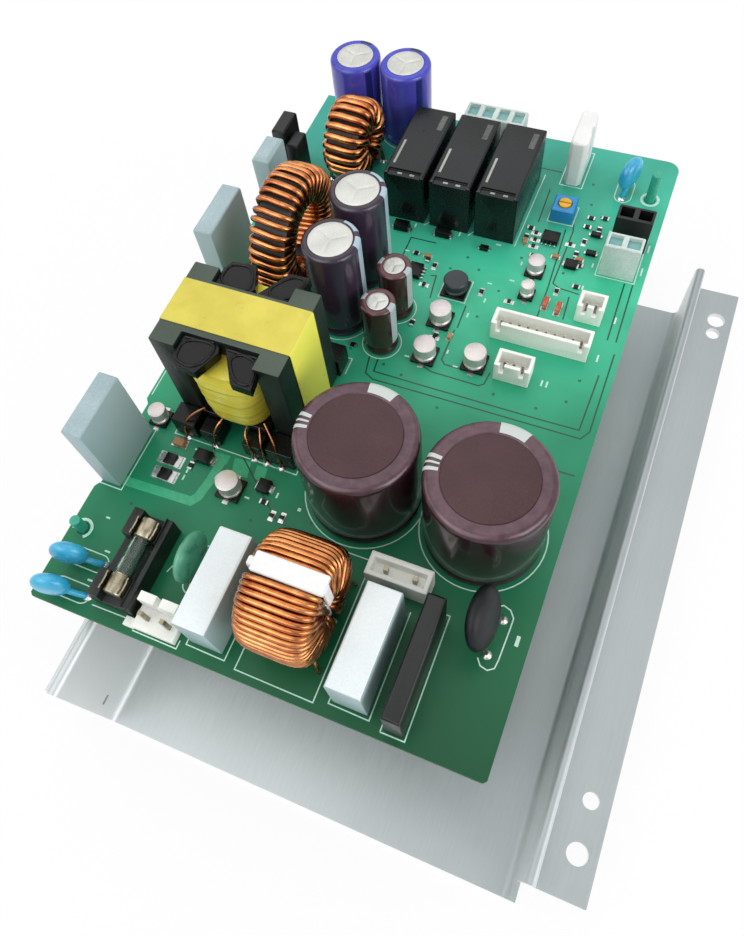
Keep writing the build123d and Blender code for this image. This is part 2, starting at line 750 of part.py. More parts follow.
def build():
    os.makedirs("parts", exist_ok=True)
    save("tray", tray())
    save("pillars", pillars())
    save("circuit_board", on_board(board()))
    save("support_posts", on_board(posts()))
    for name, (places, d, h, disc, edge) in CANS.items():
        pairs = [can(x, y, d, h, disc, edge) for x, y in places]
        save(name + "_sleeves", on_board([p[0] for p in pairs]))
        save(name + "_tops", on_board([p[1] for p in pairs]))
    save("small_ring_core", on_board(ring_core(RING_SMALL, WIRE, 5.2)))
    turns = ring_turns(RING_SMALL, WIRE, 5.2, -160, 160, 23)
    save("small_ring_winding", on_board(turns + ring_legs(RING_SMALL, 6.0)))
    save("large_ring_core", on_board(ring_core(RING_LARGE, WIRE, 8.4)))
    turns = ring_turns(RING_LARGE, WIRE, 8.4, -166, 166, 36)
    save("large_ring_winding", on_board(turns + ring_legs(RING_LARGE, 10.0)))
    save("choke_core", on_board(choke_core()))
    save("choke_rear_winding", on_board(choke_winding(-160.5, 13, 11.5)))
    save("choke_front_winding", on_board(choke_winding(22.5, 13, 11.5)))
    save("choke_divider", on_board(choke_divider()))
    save("transformer_core", on_board(transformer_core()))
    save("transformer_winding", on_board(transformer_winding()))
    save("transformer_bobbin", on_board(transformer_bobbin()))
    save("transformer_tape", on_board(transformer_tape()))
    save("transformer_leads", on_board(transformer_leads()))
    save("relays", on_board(relays()))
    save("film_caps", on_board(film_caps()))
    save("line_filter_caps", on_board(line_filter_caps()))
    save("rear_blocks", on_board(rear_blocks()))
    save("fuse_holder", on_board(fuse_holder()))
    for name, shapes in fuse().items():
        save(name, on_board(shapes))
    save("blue_discs", on_board(blue_discs()))
    save("varistor", on_board(varistor()))
    save("thermistor", on_board(thermistor()))
    save("bridge_rectifier", on_board(bridge_rectifier()))
    save("cement_resistor", on_board(cement_resistor()))
    body, rotor = trimmer()
    save("trimmer_body", on_board(body))
    save("trimmer_rotor", on_board(rotor))
    save("mains_wafer", on_board(mains_wafer()))
    save("link_wafer", on_board(link_wafer()))
    save("small_headers", on_board(small_headers()))
    save("header_pins", on_board(header_pins()))
    for name, shape in power_headers().items():
        save(name, on_board(shape))
    bodies, bases = surface_cans()
    save("surface_cans", on_board(bodies))
    save("surface_can_bases", on_board(bases))
    save("surface_inductor", on_board(surface_inductor()))
    bodies, legs = chips()
    save("surface_chips", on_board(bodies))
    more, ends = resistors()
    save("surface_resistors", on_board(more))
    save("surface_terminals", on_board(legs + ends))
    save("chip_caps", on_board(chip_caps()))
    save("glass_diodes", on_board(glass_diodes()))
    save("solder_joints", on_board(solder_joints()))


build()
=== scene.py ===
# Open frame power supply: detailed pieces, materials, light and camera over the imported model.
import math

import bmesh
import bpy
from mathutils import Matrix, Vector


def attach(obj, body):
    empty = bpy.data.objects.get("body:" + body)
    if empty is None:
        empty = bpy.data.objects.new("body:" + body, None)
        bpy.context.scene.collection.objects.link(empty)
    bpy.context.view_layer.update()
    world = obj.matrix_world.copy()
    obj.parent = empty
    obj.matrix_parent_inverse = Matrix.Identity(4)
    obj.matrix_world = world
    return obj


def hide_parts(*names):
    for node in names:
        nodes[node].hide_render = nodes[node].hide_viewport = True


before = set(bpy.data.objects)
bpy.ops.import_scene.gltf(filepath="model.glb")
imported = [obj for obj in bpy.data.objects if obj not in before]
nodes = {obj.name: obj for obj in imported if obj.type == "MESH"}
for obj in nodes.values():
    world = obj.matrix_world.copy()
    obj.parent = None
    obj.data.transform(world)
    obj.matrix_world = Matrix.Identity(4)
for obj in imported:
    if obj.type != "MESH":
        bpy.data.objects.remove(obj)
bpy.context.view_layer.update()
mm = 0.001
boardCorner = Vector((-0.076, -0.0785, 0.0481))  # front left corner of the board's top face
print("frame loaded:", len(nodes), "nodes")


def onBoard(x, y, z=0.0):
    return boardCorner + Vector((x, y, z)) * mm


def upright(x, y, z=0.0):
    return Matrix.Translation(onBoard(x, y, z))


def rotated(degrees, axis):
    return Matrix.Rotation(math.radians(degrees), 4, axis)


def linear(hexColour):
    parts = [int(hexColour[i:i + 2], 16) / 255 for i in (0, 2, 4)]
    return [c / 12.92 if c <= 0.04045 else ((c + 0.055) / 1.055) ** 2.4 for c in parts] + [1.0]


# The source of a link is a socket, or a node when its first output is meant.
def plug(tree, node, links):
    for key, source in links.items():
        if isinstance(source, bpy.types.Node):
            source = source.outputs[0]
        tree.links.new(source, node.inputs[key])


def addNode(tree, kind, values=None, links=None, **settings):
    node = tree.nodes.new(kind)
    for key, value in settings.items():
        setattr(node, key, value)
    for key, value in (values or {}).items():
        node.inputs[key].default_value = value
    plug(tree, node, links or {})
    return node


def newMaterial(name):
    made = bpy.data.materials.new(name)
    made.use_nodes = True
    return made, made.node_tree, made.node_tree.nodes["Principled BSDF"]


# A finish is a two-tone grain over a slow drift of tone, with a bump from the same grain.
# grain is the size of one speck in mm, depth its height in mm, stretch pulls it along an axis,
# drift is the size of one cloud in mm, rough the lowest and highest roughness, side a tone painted
# on upright faces, a painted light or painted shade for how they are lit, and across a tint that
# the colour is multiplied by, coming in between two places along X, a painted shade.
def makeFinish(name, dark, light, grain, depth, rough, drift=18.0, stretch=(1, 1, 1), bump=0.4,
               side=None, across=None, metal=0.0, coat=0.0, coatRough=0.1, ior=1.5):
    made, tree, shader = newMaterial(name)
    place = addNode(tree, "ShaderNodeTexCoord").outputs["Object"]
    laid = addNode(tree, "ShaderNodeMapping", {"Scale": stretch}, {"Vector": place})
    fine = addNode(tree, "ShaderNodeTexNoise",
                   {"Scale": 1000 / grain, "Detail": 3.0, "Roughness": 0.6},
                   {"Vector": laid})
    slow = addNode(tree, "ShaderNodeTexNoise", {"Scale": 1000 / drift, "Detail": 2.0},
                   {"Vector": place})
    both = addNode(tree, "ShaderNodeMath", links={0: fine, 1: slow}, operation="ADD")
    tone = addNode(tree, "ShaderNodeMapRange",
                   {"From Min": 0.75, "From Max": 1.25, "To Min": 0.0, "To Max": 1.0},
                   {"Value": both})
    colour = addNode(tree, "ShaderNodeMix", {6: linear(dark), 7: linear(light)},
                     {"Factor": tone}, data_type="RGBA").outputs[2]
    # painted shade: the colour is multiplied by the tint, more the further along X
    if across:
        near, far, paintedShadeTint = across
        split = addNode(tree, "ShaderNodeSeparateXYZ", links={0: place})
        wide = addNode(tree, "ShaderNodeMapRange", {"From Min": near, "From Max": far},
                       {"Value": split.outputs["X"]})
        colour = addNode(tree, "ShaderNodeMix", {7: linear(paintedShadeTint)},
                         {"Factor": wide, 6: colour}, data_type="RGBA",
                         blend_type="MULTIPLY").outputs[2]
    # painted light or shade: faces that do not face up take the side tone in place of the grain's
    # colour
    if side:
        facing = addNode(tree, "ShaderNodeSeparateXYZ", links={
            0: addNode(tree, "ShaderNodeNewGeometry").outputs["Normal"]})
        level = addNode(tree, "ShaderNodeMapRange", {"From Min": 0.35, "From Max": 0.85},
                        {"Value": facing.outputs["Z"]})
        colour = addNode(tree, "ShaderNodeMix", {6: linear(side)},
                         {"Factor": level, 7: colour}, data_type="RGBA").outputs[2]
    sheen = addNode(tree, "ShaderNodeMapRange",
                    {"From Min": 0.3, "From Max": 0.7, "To Min": rough[0], "To Max": rough[1]},
                    {"Value": fine})
    relief = addNode(tree, "ShaderNodeBump", {"Strength": bump, "Distance": depth * mm},
                     {"Height": fine})
    plug(tree, shader, {"Base Color": colour, "Roughness": sheen, "Normal": relief})
    shader.inputs["Metallic"].default_value = metal
    shader.inputs["Coat Weight"].default_value = coat
    shader.inputs["Coat Roughness"].default_value = coatRough
    if not metal:
        shader.inputs["IOR"].default_value = ior
    return made


def dress(node, material):
    nodes[node].data.materials.clear()
    nodes[node].data.materials.append(material)


# sharp is the angle in degrees above which an edge stays hard; 0 leaves the shading as it is
def keepPiece(piece, material, replaced=(), body="supply", sharp=0):
    piece.data.materials.clear()
    piece.data.materials.append(material)
    if sharp:
        for face in piece.data.polygons:
            face.use_smooth = True
        piece.data.set_sharp_from_angle(angle=math.radians(sharp))
    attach(piece, body)
    if replaced:
        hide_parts(*replaced)


def inScene(name, data):
    made = bpy.data.objects.new(name, data)
    bpy.context.scene.collection.objects.link(made)
    return made


def newObject(name, vertices, faces):
    mesh = bpy.data.meshes.new(name)
    mesh.from_pydata([tuple(v) for v in vertices], [], faces)
    mesh.validate()
    mesh.update()
    return inScene(name, mesh)


def settled(name, piece):
    # the evaluated shape as a plain mesh, with nothing live left on it
    view = bpy.context.evaluated_depsgraph_get()
    view.update()
    mesh = bpy.data.meshes.new_from_object(piece.evaluated_get(view), depsgraph=view)
    mesh.name = name
    done = inScene(name, mesh)
    bpy.data.objects.remove(piece)
    return done


# Rounds a piece's edges sharper than an angle in degrees; width in mm.
def rounded(name, piece, width, segments=2, angle=30):
    for face in piece.data.polygons:
        face.use_smooth = True
    edge = piece.modifiers.new("edge", "BEVEL")
    edge.width = width * mm
    edge.segments = segments
    edge.limit_method = "ANGLE"
    edge.angle_limit = math.radians(angle)
    edge.harden_normals = True
    return settled(name, piece)


# A copy of a CAD node with its real rounded edges, kept in the node's place. When joined, the
# edges inside flat faces are taken away first.
def keepSoftened(node, name, width, material, segments=2, joined=True, body="supply"):
    work = bmesh.new()
    work.from_mesh(nodes[node].data)
    bmesh.ops.remove_doubles(work, verts=work.verts, dist=1e-6)
    if joined:
        bmesh.ops.dissolve_limit(work, angle_limit=math.radians(1.0), verts=work.verts,
                                 edges=work.edges)
    mesh = bpy.data.meshes.new(name)
    work.to_mesh(mesh)
    work.free()
    piece = inScene(name + "Draft", mesh)
    keepPiece(rounded(name, piece, width, segments, 35), material, [node], body)


# Turned shapes: a half outline of (radius, height) in mm, turned about Z, then placed.
def turned(name, places, outline, steps):
    vertices = []
    faces = []
    for place in places:
        rings = []
        for r, z in outline:
            if r < 1e-6:
                rings.append([len(vertices)])
                vertices.append(place @ Vector((0, 0, z * mm)))
                continue
            rings.append(list(range(len(vertices), len(vertices) + steps)))
            for i in range(steps):
                turn = 2 * math.pi * i / steps
                vertices.append(place @ Vector((r * mm * math.cos(turn), r * mm * math.sin(turn),
                                                z * mm)))
        for low, high in zip(rings, rings[1:]):
            for i in range(steps):
                j = (i + 1) % steps
                if len(low) > 1 and len(high) > 1:
                    faces.append((low[i], low[j], high[j], high[i]))
                elif len(high) > 1:
                    faces.append((low[0], high[j], high[i]))
                elif len(low) > 1:
                    faces.append((low[i], low[j], high[0]))
    return newObject(name, vertices, faces)


# Flat ribbons just above a surface, from lists of points in mm on the board.
def ribbons(name, paths, width, height, closed=False):
    vertices = []
    faces = []
    for path in paths:
        points = [Vector((x, y)) for x, y in path]
        count = len(points)
        first = len(vertices)
        for i, here in enumerate(points):
            before = points[i - 1] if i or closed else here
            after = points[(i + 1) % count] if i < count - 1 or closed else here
            a = (here - before).normalized() if (here - before).length else None
            b = (after - here).normalized() if (after - here).length else None
            a = a or b
            b = b or a
            along = (a + b).normalized()
            across = Vector((-along.y, along.x))
            # wider at a bend, but not more than a little over twice
            grow = 1 / max(0.45, across.dot(Vector((-a.y, a.x))))
            for side in (-1, 1):
                edge = here + across * side * width / 2 * grow
                vertices.append(onBoard(edge.x, edge.y, height))
        spans = count if closed else count - 1
        for i in range(spans):
            a = first + 2 * i
            b = first + 2 * ((i + 1) % count)
            faces.append((a, b, b + 1, a + 1))
    return newObject(name, vertices, [tuple(reversed(f)) for f in faces])


def circle(x, y, r, start=0, end=360, steps=48):
    span = end - start
    count = steps if span >= 360 else steps + 1
    turns = [math.radians(start + span * i / steps) for i in range(count)]
    return [(x + r * math.cos(turn), y + r * math.sin(turn)) for turn in turns]


# Turns the faces outward, or, for flat shapes, upward.
def faceOut(piece, flat=False):
    work = bmesh.new()
    work.from_mesh(piece.data)
    bmesh.ops.recalc_face_normals(work, faces=work.faces)
    for face in work.faces:
        if flat and face.normal.z < 0:
            face.normal_flip()
    work.to_mesh(piece.data)
    work.free()
    return piece


def flatShape(name, outlines, height):
    vertices = []
    faces = []
    for outline in outlines:
        faces.append(tuple(range(len(vertices), len(vertices) + len(outline))))
        vertices += [onBoard(x, y, height) for x, y in outline]
    return faceOut(newObject(name, vertices, faces), flat=True)


# Round wires along points in mm on the board, smoothed by a NURBS line.
def wires(name, paths, radius):
    line = bpy.data.curves.new(name, "CURVE")
    line.dimensions = "3D"
    line.bevel_depth = radius * mm
    line.bevel_resolution = 2
    line.use_fill_caps = True
    for path in paths:
        spline = line.splines.new("NURBS")
        spline.points.add(len(path) - 1)
        for point, place in zip(spline.points, path):
            point.co = (*onBoard(*place), 1.0)
        spline.order_u = 3
        spline.use_endpoint_u = True
        spline.resolution_u = 6
    return settled(name, inScene(name + "Draft", line))


# Boxes from the low corner and the size of each, in mm on the board.
def boxes(name, lots, bevel=0.0):
    vertices = []
    faces = []
    for x, y, z, w, l, h in lots:
        first = len(vertices)
        for dz in (0, h):
            for dx, dy in ((0, 0), (w, 0), (w, l), (0, l)):
                vertices.append(onBoard(x + dx, y + dy, z + dz))
        for quad in ((3, 2, 1, 0), (4, 5, 6, 7), (0, 1, 5, 4), (1, 2, 6, 5), (2, 3, 7, 6),
                     (3, 0, 4, 7)):
            faces.append(tuple(first + k for k in quad))
    piece = newObject(name, vertices, faces)
    if not bevel:
        return piece
    piece.name = name + "Draft"
    return rounded(name, piece, bevel)


# tray: one folded sheet
tray = {
    "dark": "B6BCBD", "light": "C3C7C8", "grain": 0.5, "drift": 60.0, "depth": 0.006,
    "stretch": (1.0, 0.06, 1.0), "rough": (0.42, 0.54), "metal": 0.75, "bump": 0.25,
    # upright walls take a lighter tone, a painted light, and towards the right flange the colour is
    # multiplied darker, a painted shade
    "side": "E6E9E9", "across": (-0.02, 0.066, "DBDEDF"),
}
# aluminium sheet, rolled: long fine grain along Y that blurs reflections one way
rolledAluminium = makeFinish("rolledAluminium", **tray)
dress("tray", rolledAluminium)
# zinc plated steel pillars: bluish grey, fairly bright
zincSteel = makeFinish(
    "zincPlatedSteel", "8F9496", "B9BDBE", grain=1.2, depth=0.01, rough=(0.3, 0.45), metal=1.0)
dress("pillars", zincSteel)
print("tray and pillars dressed")

# board: mask, print and copper
board = {
    # corner and front are darkened, a painted shade, and control is brightened, a painted light;
    # middle and rear are the mask's own green and teal
    "corner": "09482A", "front": "177048", "middle": "24906A", "control": "44CAA0",
    "rear": "3CB09A", "shade": "145A3B",
    "maskRough": (0.3, 0.42),
    "silk": "D8F4E9", "silkHeight": 0.03, "lineWidth": 0.32, "postWidth": 0.8,
    "pour": "3CBB8C", "pourHeight": 0.008, "bandWidth": 2.6, "bandHeight": 0.006,
    "gap": "0F4A34", "gapWidth": 0.42, "gapHeight": 0.012,
}


# solder mask over glass cloth: glossy green lacquer, its green stepped along a slope from the front
# right corner to the rear left, partly the mask's own tint, with painted shade at the dark corner
# and front stops and painted light at the bright control stop, and darker in random clouds
def makeMask(name, look):
    made, tree, shader = newMaterial(name)
    place = addNode(tree, "ShaderNodeTexCoord").outputs["Object"]
    split = addNode(tree, "ShaderNodeSeparateXYZ", links={0: place})
    slope = addNode(tree, "ShaderNodeMath", {1: -0.3},
                    {0: split.outputs["X"], 2: split.outputs["Y"]}, operation="MULTIPLY_ADD")
    along = addNode(tree, "ShaderNodeMapRange", {"From Min": -0.092, "From Max": 0.12},
                    {"Value": slope})
    ramp = addNode(tree, "ShaderNodeValToRGB", links={0: along})
    stops = ramp.color_ramp.elements
    stops[0].position, stops[0].color = 0.0, linear(look["corner"])
    stops[1].position, stops[1].color = 0.95, linear(look["rear"])
    for spot, label in ((0.18, "front"), (0.42, "middle"), (0.68, "control")):
        stops.new(spot).color = linear(look[label])
    cloth = addNode(tree, "ShaderNodeTexNoise", {"Scale": 900.0, "Detail": 2.0}, {"Vector": place})
    cloud = addNode(tree, "ShaderNodeTexNoise", {"Scale": 45.0, "Detail": 3.0}, {"Vector": place})
    amount = addNode(tree, "ShaderNodeMapRange",
                     {"From Min": 0.4, "From Max": 0.75, "To Min": 0.0, "To Max": 0.35},
                     {"Value": cloud})
    colour = addNode(tree, "ShaderNodeMix", {7: linear(look["shade"])},
                     {"Factor": amount, 6: ramp}, data_type="RGBA")
    low, high = look["maskRough"]
    rough = addNode(tree, "ShaderNodeMapRange",
                    {"From Min": 0.3, "From Max": 0.7, "To Min": low, "To Max": high},
                    {"Value": cloud})
    bump = addNode(tree, "ShaderNodeBump", {"Strength": 0.2, "Distance": 0.02 * mm},
                   {"Height": cloth})
    plug(tree, shader, {"Base Color": colour.outputs[2], "Roughness": rough, "Normal": bump})
    shader.inputs["IOR"].default_value = 1.36
    return made


solderMask = makeMask("solderMask", board)
dress("circuit_board", solderMask)
# silk print: thin matte epoxy ink, a little green where the mask shows through
silkInk = makeFinish("silkInk", "B2E2D0", board["silk"], grain=0.5, depth=0.004, rough=(0.6, 0.75))
# mask over full copper, lighter, and over bare laminate, darker
pourMask = makeFinish(
    "maskOverCopper", "2FA676", board["pour"], grain=2.0, depth=0.01, rough=(0.3, 0.4))
gapMask = makeFinish(
    "maskOverLaminate", "0C4430", board["gap"], grain=1.0, depth=0.01, rough=(0.35, 0.45))
# tin solder: bright, slightly lumpy
tinSolder = makeFinish(
    "tinSolder", "A9ACAB", "E2E4E2", grain=0.8, depth=0.05, rough=(0.22, 0.4), metal=1.0, bump=0.5)

outlines = [
    [(13.4, 60.5), (13.4, 54.6), (50.9, 54.2), (50.9, 60.5)],
    [(13.4, 88), (13.4, 93.4), (50.9, 93.4), (50.9, 88)],
    [(58.4, 38.8), (58.2, 2.2), (78.8, 2.0), (78.8, 38.8), (58.4, 38.8)],
    [(44.4, 8.7), (44.4, 3.3), (55.0, 3.1), (55.0, 30.3), (44.4, 30.3), (44.4, 8.7)],
    [(82.2, 30.0), (82.2, 3.2), (92.4, 3.0), (92.4, 30.0)],
    [(95.6, 1.7), (101.5, 1.7), (101.5, 32.4), (95.6, 32.4), (95.6, 1.7)],
    [(17.0, 3.5), (29.8, 3.7)],
    [(30.0, 1.5), (42.6, 1.4), (42.6, 3.6)],
    [(30.9, 17.9), (31.6, 19.9), (34.1, 16.9)],
    [(82.4, 178.4), (81.9, 147.0)],
    [(52.9, 147.0), (54.2, 148.9)],
    [(67.2, 147.0), (68.4, 148.9)],
    [(107.1, 143.5), (118.4, 143.5), (118.4, 161.2), (107.1, 161.2), (107.1, 143.5)],
    [(88.2, 159.8), (96.0, 159.8), (96.0, 167.6), (88.2, 167.6), (88.2, 159.8)],
    [(87.6, 175.6), (94.6, 175.6), (94.6, 191.6), (87.6, 191.6), (87.6, 175.6)],
    [(0.8, 63.5), (0.8, 100.0)],
    [(0.9, 34.0), (7.8, 34.0), (7.8, 54.0)],
    [(8.8, 101.4), (8.8, 121.4), (1.8, 121.4)],
    [(66.4, 122.0), (74.6, 122.0), (74.6, 130.2), (66.4, 130.2), (66.4, 122.0)],
    [(110.6, 25.4), (111.8, 23.8), (113.6, 23.4), (115.0, 24.4), (115.3, 26.6), (115.6, 35.0),
     (115.6, 37.2), (114.4, 38.8), (112.6, 39.4), (111.0, 38.6)],
]


def oval(x, y, w, l):
    r = min(w, l) / 2
    if w > l:
        return circle(x + w / 2 - r, y, r, -90, 90, 12) + circle(x - w / 2 + r, y, r, 90, 270, 12)
    return circle(x, y + l / 2 - r, r, 0, 180, 12) + circle(x, y - l / 2 + r, r, 180, 360, 12)


rounds = [circle(x, y, r) for x, y, r in (
    (70.2, 56.2, 16.0), (101.9, 56.0, 16.0), (42.5, 125.2, 8.7), (42.4, 106.8, 8.7),
    (56.8, 101.4, 5.6), (56.6, 114.2, 5.6), (16.8, 184.4, 8.7), (33.4, 185.0, 8.7))]
rounds += [oval(9.8, 13.6, 11.6, 4.8), oval(9.8, 5.0, 11.6, 4.8), oval(107.3, 178.5, 5.0, 10.0),
           oval(38.8, 21.4, 5.0, 13.4)]
postRings = [circle(3.6, 20.7, 2.5, -60, 200, 30), circle(115.3, 177.0, 2.5, 0, 358, 30)]
for name, paths, width, lift, closed in (
        ("silkLines", outlines, board["lineWidth"], 0, False),
        ("silkRounds", rounds, board["lineWidth"], 0, True),
        ("silkPostRings", postRings, board["postWidth"], 0.01, False)):
    keepPiece(ribbons(name, paths, width, board["silkHeight"] + lift, closed), silkInk)

gaps = [
    [(57.8, 96.1), (58.2, 91.5), (71.5, 91.4), (105.6, 91.4), (116.5, 91.6), (117.0, 110.0)],
    [(55.2, 95.8), (56.2, 90.3), (58.8, 88.9), (83.3, 89.1), (117.5, 89.2), (119.2, 92.0),
     (119.2, 118.0)],
    [(71.0, 97.4), (73.6, 96.5), (80.8, 96.4), (87.3, 96.3), (88.6, 97.3), (89.0, 101.4)],
    [(75.0, 112.1), (74.9, 101.3), (76.2, 100.0), (80.4, 99.9)],
    [(84.0, 78.2), (119.0, 78.2)],
    [(85.5, 172.7), (85.9, 158.6)],
    [(96.2, 160.9), (96.8, 157.9), (96.6, 136.9), (98.7, 135.7), (104.7, 135.2)],
    [(94.5, 158.0), (95.7, 134.5), (95.7, 121.0)],
    [(115.9, 143.0), (116.2, 122.0)], [(118.2, 143.1), (118.6, 122.0)],
    [(50.9, 134.0), (50.9, 141.2), (59.0, 141.3)],
    [(80.0, 180.9), (87.0, 180.8)],
    [(64.4, 120.8), (63.3, 129.3), (61.7, 128.8)],
    [(75.3, 121.3), (75.5, 113.0)],
    [(102.3, 133.5), (102.8, 125.1)],
    [(34.0, 55.0), (52.0, 40.0), (56.0, 40.0)],
]
keepPiece(ribbons("maskGaps", gaps, board["gapWidth"], board["gapHeight"]), gapMask)
pourBands = [[(2.0, 36.8), (8.6, 36.9), (27.4, 37.6), (28.7, 39.4), (29.6, 45.0), (30.0, 52.0)]]
keepPiece(ribbons("pourBand", pourBands, board["bandWidth"], board["bandHeight"]), pourMask)
pours = [
    [(32.8, 53.4), (37.8, 53.6), (38.7, 48.8), (34.1, 48.8)],
    [(39.7, 53.4), (42.8, 53.5), (43.4, 49.3), (40.3, 49.4)],
    [(27.0, 53.2), (31.6, 53.4), (31.6, 50.6), (27.6, 50.4)],
    [(81.5, 40.5), (86.0, 40.5), (84.8, 34.0), (80.0, 33.0)],
]
keepPiece(flatShape("pourFields", pours, board["pourHeight"]), pourMask)
print("board printed")

# capacitors: heights and widths in mm, places on the board
# side is a tone painted on each sleeve's upright wall: painted shade on the small and bulk caps,
# painted light on the rear and middle caps
cans = {
    "rearCap": {
        "places": [(16.8, 184.4), (33.4, 185.0)], "width": 15.9, "height": 25.0, "lid": 11.4,
        "edge": 1.3, "nodes": ("rear_cap_sleeves", "rear_cap_tops"), "slot": "blue_sleeve",
        "dark": "3034A2", "light": "4249C8", "stripes": [(62, 8), (-38, 8)],
        "stripe": "20236E", "rimMarks": [(80, 17)], "side": "4A48AE",
    },
    "middleCap": {
        "places": [(42.5, 125.2), (42.4, 106.8)], "width": 15.8, "height": 31.5, "lid": 12.0,
        "edge": 1.3, "nodes": ("middle_cap_sleeves", "middle_cap_tops"), "slot": "plum_sleeve",
        "dark": "2A1F2E", "light": "3C2F40", "stripes": [(11, 14)],
        "stripe": "A9BCCB", "rimMarks": [(11, 14), (60, 20)], "side": "3A2E40",
    },
    "smallCap": {
        "places": [(56.8, 101.4), (56.6, 114.2)], "width": 9.7, "height": 18.5, "lid": 6.0,
        "edge": 1.0, "nodes": ("small_cap_sleeves", "small_cap_tops"), "slot": "brown_sleeve",
        "dark": "4E2A30", "light": "623B40", "stripes": [(-8, 17)],
        "stripe": "AEB9BE", "rimMarks": [(-8, 17), (172, 16)], "side": "38231F",
    },
    "bulkCap": {
        "places": [(70.2, 56.2), (101.9, 56.0)], "width": 29.8, "height": 30.0, "lid": 21.8,
        "edge": 1.9, "nodes": ("bulk_cap_sleeves", "bulk_cap_tops"), "slot": "maroon_sleeve",
        "dark": "432A34", "light": "664651", "stripes": [], "stripe": "C2CAC7",
        "rimMarks": [(83, 15), (-171, 2.0), (-178, 1.2), (175, 2.2)], "side": "2C181E",
    },
}
# lids: the angles of the rays, and the shares of the radius where scores end and the rim starts
lid = {
    "steps": 72, "rings": 9, "rays": (0.55, 0.55 + 2.094, 0.55 + 4.189), "scoreWidth": 0.42,
    "scoreDepth": 0.12, "scoreEnd": 0.86, "rim": 0.97, "rimDrop": 0.12,
}


def sleeveOutline(can):
    r = can["width"] / 2
    h = can["height"]
    e = can["edge"]
    line = [(0, 0.25), (r - 1.4, 0.25), (r - 0.9, 0.05), (r - 0.3, 0.2), (r - 0.02, 0.8),
            (r, 1.6), (r - 0.12, 2.1), (r - 0.5, 2.6), (r - 0.5, 3.0), (r - 0.12, 3.5), (r, 4.1),
            (r, 0.6 * h), (r, h - e - 0.3)]
    for i in range(1, 7):
        turn = math.pi / 2 * i / 6
        line.append((r - e + e * math.cos(turn), h - e + e * math.sin(turn)))
    inner = can["lid"] / 2
    line += [(inner + 0.5, h - 0.02), (inner + 0.15, h - 0.1), (inner, h - 0.28), (0, h - 0.3)]
    return line


# pressed aluminium lid with three scored rays from its middle
def scoredLid(name, places, radius, height):
    vertices = []
    faces = []
    steps = lid["steps"]
    radii = [radius * k / lid["rings"] for k in range(1, lid["rings"] + 1)]
    for x, y in places:
        middle = len(vertices)
        vertices.append(onBoard(x, y, height - lid["scoreDepth"]))
        for r in radii:
            for i in range(steps):
                turn = 2 * math.pi * i / steps
                near = min(abs((turn - ray + math.pi) % (2 * math.pi) - math.pi)
                           for ray in lid["rays"])
                cut = 0.0
                if r < radius * lid["scoreEnd"]:
                    cut = math.exp(-(near * r / lid["scoreWidth"]) ** 2)
                edge = lid["rimDrop"] if r > radius * lid["rim"] else 0.0
                vertices.append(onBoard(x + r * math.cos(turn), y + r * math.sin(turn),
                                        height - lid["scoreDepth"] * cut - edge))
        for i in range(steps):
            j = (i + 1) % steps
            faces.append((middle, middle + 1 + i, middle + 1 + j))
            for k in range(len(radii) - 1):
                a = middle + 1 + k * steps
                faces.append((a + i, a + steps + i, a + steps + j, a + j))
    return newObject(name, vertices, faces)


def sleevePatch(name, can, marks, top):
    # thin printed fields just clear of the sleeve, on the side or, with top, over the rim
    r = can["width"] / 2 + 0.02
    h = can["height"]
    e = can["edge"]
    rim = [(can["lid"] / 2 + 0.5, h + 0.012)]
    for i in range(7):
        turn = math.pi / 2 * (1 - i / 6)
        rim.append((r - e + (e + 0.01) * math.cos(turn), h - e + (e + 0.012) * math.sin(turn)))
    line = rim if top else [(r, h - e), (r, h * 0.5), (r, 4.3)]
    vertices = []
    faces = []
    steps = 9
    n = len(line)
    for x, y in can["places"]:
        for middle, half in marks:
            first = len(vertices)
            for i in range(steps):
                turn = math.radians(middle - half + 2 * half * i / (steps - 1))
                for lr, lz in line:
                    vertices.append(onBoard(x + lr * math.cos(turn), y + lr * math.sin(turn), lz))
            for i in range(steps - 1):
                for k in range(n - 1):
                    a = first + i * n + k
                    faces.append((a, a + 1, a + n + 1, a + n))
    return newObject(name, vertices, faces)


# bare aluminium lid, spun and lightly etched
lidAluminium = makeFinish(
    "etchedAluminium", "BABBB5", "D4D5CF", grain=0.4, drift=9.0, depth=0.01, rough=(0.4, 0.52),
    metal=0.75, bump=0.3)
